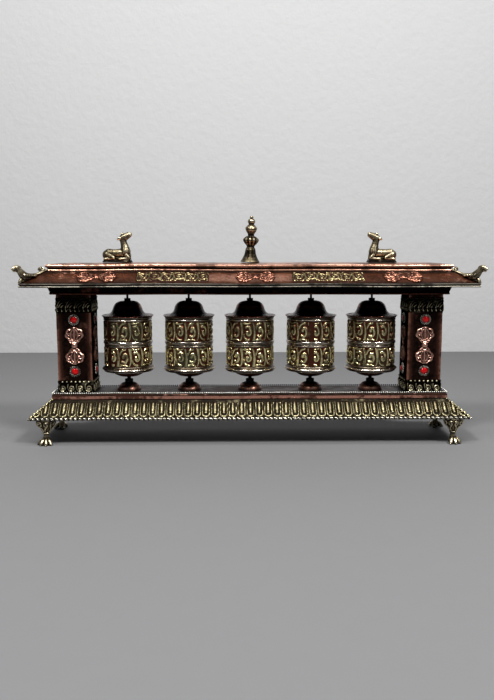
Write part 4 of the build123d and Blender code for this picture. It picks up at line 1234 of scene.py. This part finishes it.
def build_roof_plaques():
    def inside(x, y):
        bridge = np.minimum(PLAQUE_SIZE[0] * 0.3 - np.abs(x), 2.6 - np.abs(y - 2.2 - 0.02 * x**2))
        return np.maximum(dorje_inside(x, y, *PLAQUE_SIZE), bridge)

    thunderbolt = cut_plate(*PLAQUE_SIZE, inside, lambda x, y: dorje_field(x, y, *PLAQUE_SIZE))
    half, half_tall = STRIP_SIZE[0] / 2, STRIP_SIZE[1] / 2
    strip_x = box_mm("roof_relief_strips")[1][0] - half

    def strip_field(x, y):
        inside = np.clip((half - np.abs(x)) / 0.8, 0, 1) * np.clip((half_tall - np.abs(y)) / 0.6, 0, 1)
        return 0.85 * inside * vine(x + half, y, half / 3, 14.6, vine_tile())

    ornament = relief_plate(*STRIP_SIZE, strip_field)
    plaques, strips = [], []
    for side in ((0, -1), (0, 1)):
        plaques += [thunderbolt.moved(slope_matrix(side, -side[1] * x)) for x in PLAQUE_X]
        strips += [ornament.moved(slope_matrix(side, x)) for x in (-strip_x, strip_x)]
    plaques += [thunderbolt.moved(slope_matrix((side, 0), 0.0)) for side in (-1, 1)]
    for solid in plaques + strips:
        solid.verts = wobble(solid.verts, *ROOF_DENTS)
    make_piece("roof_thunderbolts", joined(plaques), ROOF_STAMP, "roof_plaques")
    make_piece("roof_ornament_strips", joined(strips), STRIP_RELIEF, "roof_relief_strips")


FINIAL_TALL = 42.0
FINIAL_LEAN = math.radians(2.2)


def build_finial():
    base = box_mm("finial")[1][2] - FINIAL_TALL

    def flute(height, angle):
        up = height - base
        ribs = 0.17 * (np.abs(np.cos(5.5 * angle)) ** 0.6 - 1) * np.exp(-(((up - 20.0) / 3.9) ** 4))
        lobes = 0.10 * (np.abs(np.cos(4 * angle)) ** 0.7 - 1) * np.exp(-(((up - 9.0) / 5.0) ** 4))
        return 1 + ribs + lobes

    points = [
        (0.3, 42.0, 0.2), (1.2, 41.6, 0.5), (1.75, 40.4, 0.7), (1.3, 39.4, 0.5), (2.2, 39.1, 0.5),
        (3.4, 37.9, 1.0), (3.5, 36.4, 1.0), (2.6, 34.9, 0.6), (2.3, 34.2, 0.4), (3.2, 33.5, 0.5),
        (4.7, 32.2, 0.8), (5.4, 31.0, 0.6), (5.5, 30.4, 0.3), (5.2, 30.0, 0.3), (5.0, 28.8, 0.9),
        (3.6, 26.6, 1.0), (2.8, 25.2, 0.6), (2.9, 24.0, 0.5), (4.6, 23.2, 0.9), (6.9, 21.4, 1.2),
        (7.5, 20.2, 0.9), (6.9, 18.8, 1.2), (5.0, 16.2, 1.0), (3.6, 14.9, 0.6), (3.4, 13.8, 0.5),
        (4.0, 12.8, 0.6), (4.6, 11.6, 0.8), (4.8, 10.0, 0.9), (5.1, 8.0, 1.0), (5.9, 5.6, 1.2),
        (7.3, 2.8, 1.0), (8.3, 1.3, 0.6), (8.7, 0.6, 0.3), (8.5, 0.0, 0.2), (0.3, 0.0, 0.0),
    ]
    profile = [(r, base + up, fillet) for r, up, fillet in points]
    spire = lathe(profile, 132, step=0.6, closed=False, flute=flute)
    leaning = spire.moved(about(base, Matrix.Rotation(FINIAL_LEAN, 4, "Y")))
    make_piece("lotus_finial", leaning, CAST_BRASS, "finial")


def flat_chains(lines):
    """Chains of balls through (x, z, radius) points in the plane y = 0."""
    return [chain([(x, 0, z, r) for x, z, r in points]) for points in lines]


def deer_solid():
    """Recumbent deer facing +X about the middle of its plinth, with its plinth's underside at zero."""
    middle_line = [
        [(-10.0, 7.2, 3.8), (-7.8, 8.2, 4.2), (-4.4, 8.1, 3.8), (0, 8.2, 3.9), (4.0, 8.4, 4.2),
         (7.0, 7.6, 4.2), (8.9, 6.0, 3.5)],
        [(7.2, 9.6, 4.8), (6.9, 12.8, 4.0), (6.2, 16.0, 3.3), (5.5, 18.6, 3.1), (5.2, 20.8, 3.3)],
        [(4.9, 21.8, 3.5), (7.2, 22.9, 3.4), (9.4, 24.1, 2.9), (11.0, 25.0, 2.5)],
        [(7.6, 21.6, 1.8), (9.6, 22.8, 1.6), (11.2, 23.8, 1.5)],
        [(-7.5, 4.4, 2.6), (7.0, 4.4, 2.6)],
    ]
    parts = flat_chains(middle_line)
    for side in (-1, 1):
        limbs = [
            [(4.4, 1.6, 22.4, 1.3), (2.4, 2.4, 21.6, 1.5), (1.2, 2.8, 20.8, 1.1)],
            [(5.8, 1.3, 24.4, 1.3), (4.9, 1.5, 25.7, 1.2)],
            [(-9.2, 2.4, 7.0, 3.0), (-6.4, 3.2, 5.6, 2.5), (-3.2, 3.9, 4.2, 1.5)],
            [(-3.0, 4.0, 3.9, 1.2), (-6.4, 4.5, 3.5, 1.1), (-10.0, 4.5, 3.4, 1.05),
             (-11.4, 4.3, 3.3, 0.95)],
            [(8.0, 2.6, 6.6, 2.2), (9.8, 3.2, 4.8, 1.6), (10.8, 3.4, 3.8, 1.2)],
            [(10.6, 3.5, 3.6, 1.15), (7.2, 4.2, 3.4, 1.05), (3.4, 4.5, 3.3, 1.0),
             (2.0, 4.4, 3.2, 0.9)],
            [(8.6, 1.9, 25.1, 0.45), (8.7, 1.9, 25.1, 0.45)],
        ]
        parts += [chain([(x, side * y, z, r) for x, y, z, r in points]) for points in limbs]
    parts += flat_chains([[(-12.6, 8.4, 0.9), (-13.0, 6.4, 0.85), (-12.7, 4.6, 0.6)]])
    animal = cast(joined(parts), voxel=0.25, smooth=3)
    profile = [
        (-5.4, 0.0, 0), (0.0, 0.0, 0.3), (0.1, 1.0, 0.3), (-0.6, 1.35, 0.2), (-0.5, 2.0, 0.3),
        (-0.9, 2.6, 0.5), (-5.4, 2.7, 0),
    ]
    rows = lid_rows(profile, (12.8, 5.4), 0.8, lambda z, relief: 0.2 * relief)
    plinth = rect_sweep(rows, 1.0, closed=False, dents=(0.12, 14.0, 5))
    return animal, plinth


def build_deer():
    animal, plinth = deer_solid()
    for node, turn in (("deer_left", 0), ("deer_right", math.pi)):
        seat = (centre_mm(node)[0], 0, box_mm(node)[0][2])
        place = Matrix.Translation(seat) @ Matrix.Rotation(turn, 4, "Z")
        make_piece(node + "_casting", animal.moved(place), CAST_BRASS, node)
        make_piece(node + "_plinth", plinth.moved(place), CAST_BRASS, weld=0.01)


def makara_solid():
    """Guardian over one roof corner: X runs down the hip and out, Z is height above the hip line."""
    middle_line = [
        [(-1.6, 0.9, 0.9), (3.7, 1.0, 1.1), (9.1, 1.0, 1.4), (13.0, 1.4, 2.0), (17.0, 2.1, 2.9),
         (20.4, 3.8, 3.2), (22.8, 6.8, 2.95), (24.8, 9.8, 2.6), (26.6, 12.2, 2.35), (28.0, 13.5, 2.3)],
        [(28.0, 13.6, 2.4), (29.8, 13.2, 1.9), (31.2, 12.6, 1.5)],
        [(27.8, 11.8, 1.7), (29.4, 11.0, 1.2), (30.6, 10.7, 0.9)],
        [(26.6, 15.0, 0.95), (25.0, 14.0, 0.8), (23.9, 12.8, 0.5)],
        [(x, z, 0.75) for x, z in spiral((2.2, 1.9), 1.1, 0.6, -120, 170, count=12)],
        [(15.0, 0.4, 1.6), (20.0, 0.8, 1.8), (23.4, 1.2, 1.5)],
        [(x, z, 1.7) for x, z in curve((20.0, 3.2), (24.2, 4.4), (25.0, 1.4))],
        [(x, z, 0.9) for x, z in spiral((24.6, 0.4), 1.9, 0.8, 100, -240, count=14)],
    ]
    parts = flat_chains(middle_line)
    for side in (-1, 1):
        parts.append(chain([(28.8, side * 1.5, 14.1, 0.7), (28.9, side * 1.55, 14.1, 0.7)]))
        for k in range(5):
            x = 23.2 - 2.2 * k
            lock = [(x, 1.9, 7.6 - 1.25 * k, 0.75), (x - 1.4, 2.8, 5.6 - 1.05 * k, 0.8),
                    (x - 3.0, 2.9, 4.0 - 0.8 * k, 0.6)]
            parts.append(chain([(x, side * y, z, r) for x, y, z, r in lock]))
    return cast(joined(parts), voxel=0.25, smooth=3)


def build_makaras():
    local = makara_solid()
    hip = (EAVE[0] - SLOPE_HEAD[0], EAVE[1] - SLOPE_HEAD[1])
    run = math.hypot(*hip)
    reach = np.clip(local.verts[:, 0], 0, run)
    local.verts[:, 2] += shell_high[2] + (FASCIA_Z - shell_high[2]) * reach / run
    turn = math.atan2(hip[1], hip[0])
    smaller = about(FASCIA_Z, Matrix.Diagonal((0.96, 0.92, 0.80, 1)))
    creatures = []
    for x_side, y_side in CORNERS:
        place = Matrix.Diagonal((x_side, y_side, 1, 1)) @ Matrix.Translation((*SLOPE_HEAD, 0))
        place = place @ Matrix.Rotation(turn, 4, "Z")
        creatures.append(local.moved(place @ smaller if y_side > 0 else place))
    make_piece("hip_makaras", joined(creatures), CAST_BRASS, "corner_makaras")


# ---------------------------------------------------------------- wheels


def boss_solid(low_z, high_z):
    peak = high_z + 1.0
    tall = peak - low_z
    return lathe(
        [(1.2, peak, 0.1), (3.0, peak, 0.4), (4.8, peak - 0.7, 0.8), (8.2, low_z + 0.74 * tall, 2.4),
         (10.4, low_z + 0.36 * tall, 1.8), (11.2, low_z, 0.2), (1.2, low_z, 0.1)],
        64, step=0.9, dents=(0.12, 12.0, 41),
    )


def build_bosses():
    low, high = box_mm("bearing_bosses")
    boss = boss_solid(low[2], high[2])
    centres = [centre_mm(f"{wheel}_drum")[0] for wheel in WHEELS]
    bosses = joined([boss.moved(Matrix.Translation((x, 0, 0))) for x in centres])
    make_piece("copper_bosses", bosses, BOSS_COPPER, "bearing_bosses")


# How far the lip reaches down and the foot reaches up on a drum, and the middle band's place.
LIP_FALL = 4.7
FOOT_RISE = 5.5
RIB_LOW = 86.3
RIB_TALL = 5.5


def drum_relief(drum):
    """Two bands of curls, each with a plain gap where the sheet's ends meet."""
    low, high = box_mm("wheel_1_rings")
    skin = drum + 0.15
    tile = TAU * skin / 12
    curl = bold_tile()
    bands = []
    for bottom, top in ((low[2] + FOOT_RISE, RIB_LOW), (RIB_LOW + RIB_TALL, high[2] - LIP_FALL)):

        def field(along, up, tall=top - bottom):
            gap = np.clip(np.abs(((along / tile) % 12) - 6) * tile / 0.6 - 3.4, 0, 1)
            panel = np.clip(np.minimum(up - 0.35, tall - 0.35 - up) / 0.4, 0, 1)
            return 0.95 * gap * panel * vine(along, up - tall / 2, tile, tall - 0.9, curl)

        bands.append(relief_drum(skin, bottom, top, field))
    # The upper band's relief is lowered so that it looks darker: painted shade under the roof.
    bands[1].relief *= 0.62
    return joined(bands)


def ring_solids(drum):
    """Flared lip, ribbed middle band and rolled foot of one drum, about the wheel's axis."""
    low, high = box_mm("wheel_1_rings")
    lip = [
        (0.0, -LIP_FALL, 0.1), (0.6, -4.5, 0.25), (1.05, -4.0, 0.3), (1.05, -3.3, 0.3), (0.6, -2.9, 0.2),
        (1.0, -2.2, 0.4), (1.7, -1.4, 0.2), (0.8, -1.3, 0.2), (0.0, -1.5, 0.1),
    ]
    middle = [
        (0.0, 0.0, 0.1), (0.6, 0.1, 0.2), (0.75, 0.8, 0.3), (0.5, 1.4, 0.15), (0.2, 1.8, 0.1),
        (1.1, 2.2, 0.5), (1.5, 3.7, 1.2), (1.1, 5.0, 0.6), (0.3, 5.4, 0.1), (0.0, RIB_TALL, 0.1),
    ]
    foot = [
        (-0.6, 0.0, 0.2), (0.9, -0.1, 0.3), (1.6, 0.5, 0.4), (1.2, 1.0, 0.2), (1.9, 1.3, 0.2),
        (3.1, 2.2, 0.8), (2.7, 3.2, 0.8), (1.2, 4.2, 0.6), (0.6, 4.9, 0.2), (0.35, 5.3, 0.1),
        (0.0, FOOT_RISE, 0.1),
    ]
    seat = drum + 0.05
    rings = []
    for start, profile in ((high[2], lip), (RIB_LOW, middle), (low[2], foot)):
        points = [(seat + out, start + up, relief) for out, up, relief in profile]
        rings.append(lathe(points, 112, step=1.2, dents=(0.10, 26.0, 51)))
    return joined(rings)


def dome_solid(drum):
    """Domed cap of a drum, spread over the lip."""
    low, high = box_mm("wheel_1_top_cap")
    brim, peak, rim = low[2], high[2], drum - 0.1
    flare = box_mm("wheel_1_rings")[1][2]
    profile = [
        (1.75, peak, 0.2), (6.6, peak - 0.1, 1.6), (10.2, peak - 1.5, 2.4), (12.6, peak - 4.4, 2.4),
        (13.4, peak - 7.2, 2.0), (14.4, peak - 9.8, 1.6), (16.6, peak - 11.7, 1.6), (19.6, peak - 12.7, 0.8),
        (drum + 0.6, flare - 0.7, 0.5), (drum + 2.3, flare, 0.15), (drum + 2.6, flare - 0.15, 0.15),
        (drum + 2.4, flare - 0.7, 0.3), (drum + 0.9, flare - 1.3, 0.2), (rim, brim + 0.1, 0.1),
        (rim, brim, 0.1), (17.6, brim + 0.1, 0.4), (14.6, brim + 1.4, 1.0), (12.6, peak - 8.8, 0.8),
        (11.4, peak - 4.8, 1.2), (9.0, peak - 1.9, 1.6), (1.75, peak - 0.9, 0.1),
    ]
    return lathe(profile, 96, step=1.2, dents=(0.14, 18.0, 52))


def dish_solid(drum):
    """Shallow dish that closes a drum underneath."""
    low, high = box_mm("wheel_1_bottom_cap")
    edge, sole, reach = high[2] - 0.8, low[2], drum - 0.9
    profile = [
        (reach, edge + 0.8, 0.1), (reach, edge, 0.1), (15.6, edge - 0.5, 0.5), (14.6, edge - 1.6, 0.8),
        (13.4, edge - 3.4, 1.2), (9.0, sole + 0.9, 1.6), (4.0, sole, 0.8), (1.75, sole, 0.1),
        (1.75, sole + 0.8, 0.1), (4.0, sole + 0.8, 0.6), (9.0, sole + 1.8, 1.2), (12.8, edge - 2.6, 1.2),
        (14.6, edge - 0.2, 0.6),
    ]
    return lathe(profile, 96, step=1.2, dents=(0.12, 16.0, 53))


def scroll_solid():
    """Paper wound round the tube, its turns showing on the ends."""
    low, high = box_mm("wheel_1_scroll")
    outer, inner, turns = (high[0] - low[0]) / 2 - 0.2, 2.0, 14
    angle = np.linspace(0, TAU * turns, turns * 28)
    radius = inner + (outer - inner) * angle / angle[-1]
    sheet = (outer - inner) / turns * 0.55
    rows = []
    for r, z in ((radius, low[2]), (radius, high[2]), (radius + sheet, high[2]), (radius + sheet, low[2])):
        rows.append(np.stack([r * np.cos(angle), r * np.sin(angle), z + 0.25 * np.sin(angle * 0.37)], -1))
    return grid_solid(np.array(rows).transpose(1, 0, 2), caps=True)


def build_wheels():
    drum = half_mm("wheel_1_drum")[0]
    looks = [
        ("ornament", "relief", drum_relief(drum), DRUM_RELIEF),
        ("mouldings", "rings", ring_solids(drum), WHITE_METAL),
        ("dome", "top_cap", dome_solid(drum), DOME_COPPER),
        ("dish", "bottom_cap", dish_solid(drum), BOSS_COPPER),
        ("paper_roll", "scroll", scroll_solid(), PAPER),
    ]
    for k, wheel in enumerate(WHEELS):
        x, y = centre_mm(f"{wheel}_drum")[:2]
        turn = Matrix.Rotation(TAU * (0.13 + 0.37 * k), 4, "Z")
        place = Matrix.Translation((x, y, 0)) @ turn
        for look, part, solid, material in looks:
            make_piece(f"{wheel}_{look}", solid.moved(place), material, f"{wheel}_{part}", wheel)


def dress_cad_nodes():
    """Gives the CAD nodes that stay visible their materials."""
    looks = {"base_bottom_plate": COPPER, "hex_nuts": STEEL, "axle_rods": STEEL, "thrust_collars": STEEL}
    for wheel in WHEELS:
        looks[f"{wheel}_drum"] = DRUM_COPPER
        looks[f"{wheel}_tube"] = STEEL
    for node, material in looks.items():
        mesh = frame["nodes"][node].data
        mesh.materials.clear()
        mesh.materials.append(material)


# ---------------------------------------------------------------- stage


def clear_from_behind(material):
    """Lets a view from behind look through a backdrop."""
    tree = material.node_tree
    behind = add(tree, "ShaderNodeNewGeometry").outputs["Backfacing"]
    mix = add(tree, "ShaderNodeMixShader", Fac=behind)
    tree.links.new(tree.nodes["Principled BSDF"].outputs["BSDF"], mix.inputs[1])
    tree.links.new(add(tree, "ShaderNodeBsdfTransparent").outputs["BSDF"], mix.inputs[2])
    tree.links.new(mix.outputs["Shader"], tree.nodes["Material Output"].inputs["Surface"])


def backdrop(name, low, high, reach, material):
    """A plane from one (y, z) edge to another, as far as reach to both sides."""
    corners = [(-reach, *low), (reach, *low), (reach, *high), (-reach, *high)]
    mesh = bpy.data.meshes.new(name)
    mesh.from_pydata(corners, [], [(0, 1, 2, 3)])
    mesh.materials.append(material)
    obj = bpy.data.objects.new(name, mesh)
    bpy.context.scene.collection.objects.link(obj)


def area_light(name, place, target, size, power):
    light = bpy.data.lights.new(name, "AREA")
    light.shape = "RECTANGLE"
    light.size, light.size_y = size
    light.energy = power
    obj = bpy.data.objects.new(name, light)
    obj.location = place
    obj.rotation_euler = (Vector(target) - Vector(place)).to_track_quat("-Z", "Y").to_euler()
    bpy.context.scene.collection.objects.link(obj)


def build_stage():
    wall_y, reach = 0.57, 4.0
    table = matte("grey_table", (0.178, 0.178, 0.181), 60.0, roughness=0.7, grain=0.02, sheen=0.08)
    wall = matte("pale_wall", (0.56, 0.56, 0.56), 90.0, spread=0.05, roughness=0.9, grain=0.5)
    clear_from_behind(wall)
    backdrop("table", (-reach, 0), (reach, 0), reach, table)
    backdrop("wall", (wall_y, 0), (wall_y, reach), reach, wall)
    area_light("key_left", (-0.45, -0.72, 1.15), (0, 0, 0.08), (0.28, 0.28), 14.0)
    area_light("key_right", (0.60, -0.72, 1.10), (0, 0, 0.08), (0.28, 0.28), 15.5)
    area_light("overhead", (0.0, -0.32, 1.55), (0, 0.1, 0), (1.3, 0.25), 11.6)
    world = bpy.data.worlds.new("studio")
    world.use_nodes = True
    world.node_tree.nodes["Background"].inputs["Color"].default_value = (1.0, 1.0, 1.0, 1.0)
    world.node_tree.nodes["Background"].inputs["Strength"].default_value = 0.03
    bpy.context.scene.world = world
    bpy.context.scene.view_settings.view_transform = "Standard"


def build_camera():
    data = bpy.data.cameras.new("camera")
    data.sensor_width = 36.0
    data.lens = 38.4
    data.clip_start = 0.01
    camera = bpy.data.objects.new("camera", data)
    pitch, turn = math.radians(7.775), math.radians(-1.0)
    stand = Vector((-0.0027, -0.688, 0.1754))
    camera.location = Matrix.Rotation(turn, 3, "Z") @ stand
    camera.rotation_euler = (math.pi / 2 - pitch, 0, turn)
    bpy.context.scene.collection.objects.link(camera)
    bpy.context.scene.camera = camera


build_base()
build_feet()
build_pillars()
build_roof()
build_roof_plaques()
build_finial()
build_deer()
build_makaras()
build_bosses()
build_wheels()
dress_cad_nodes()
build_stage()
build_camera()
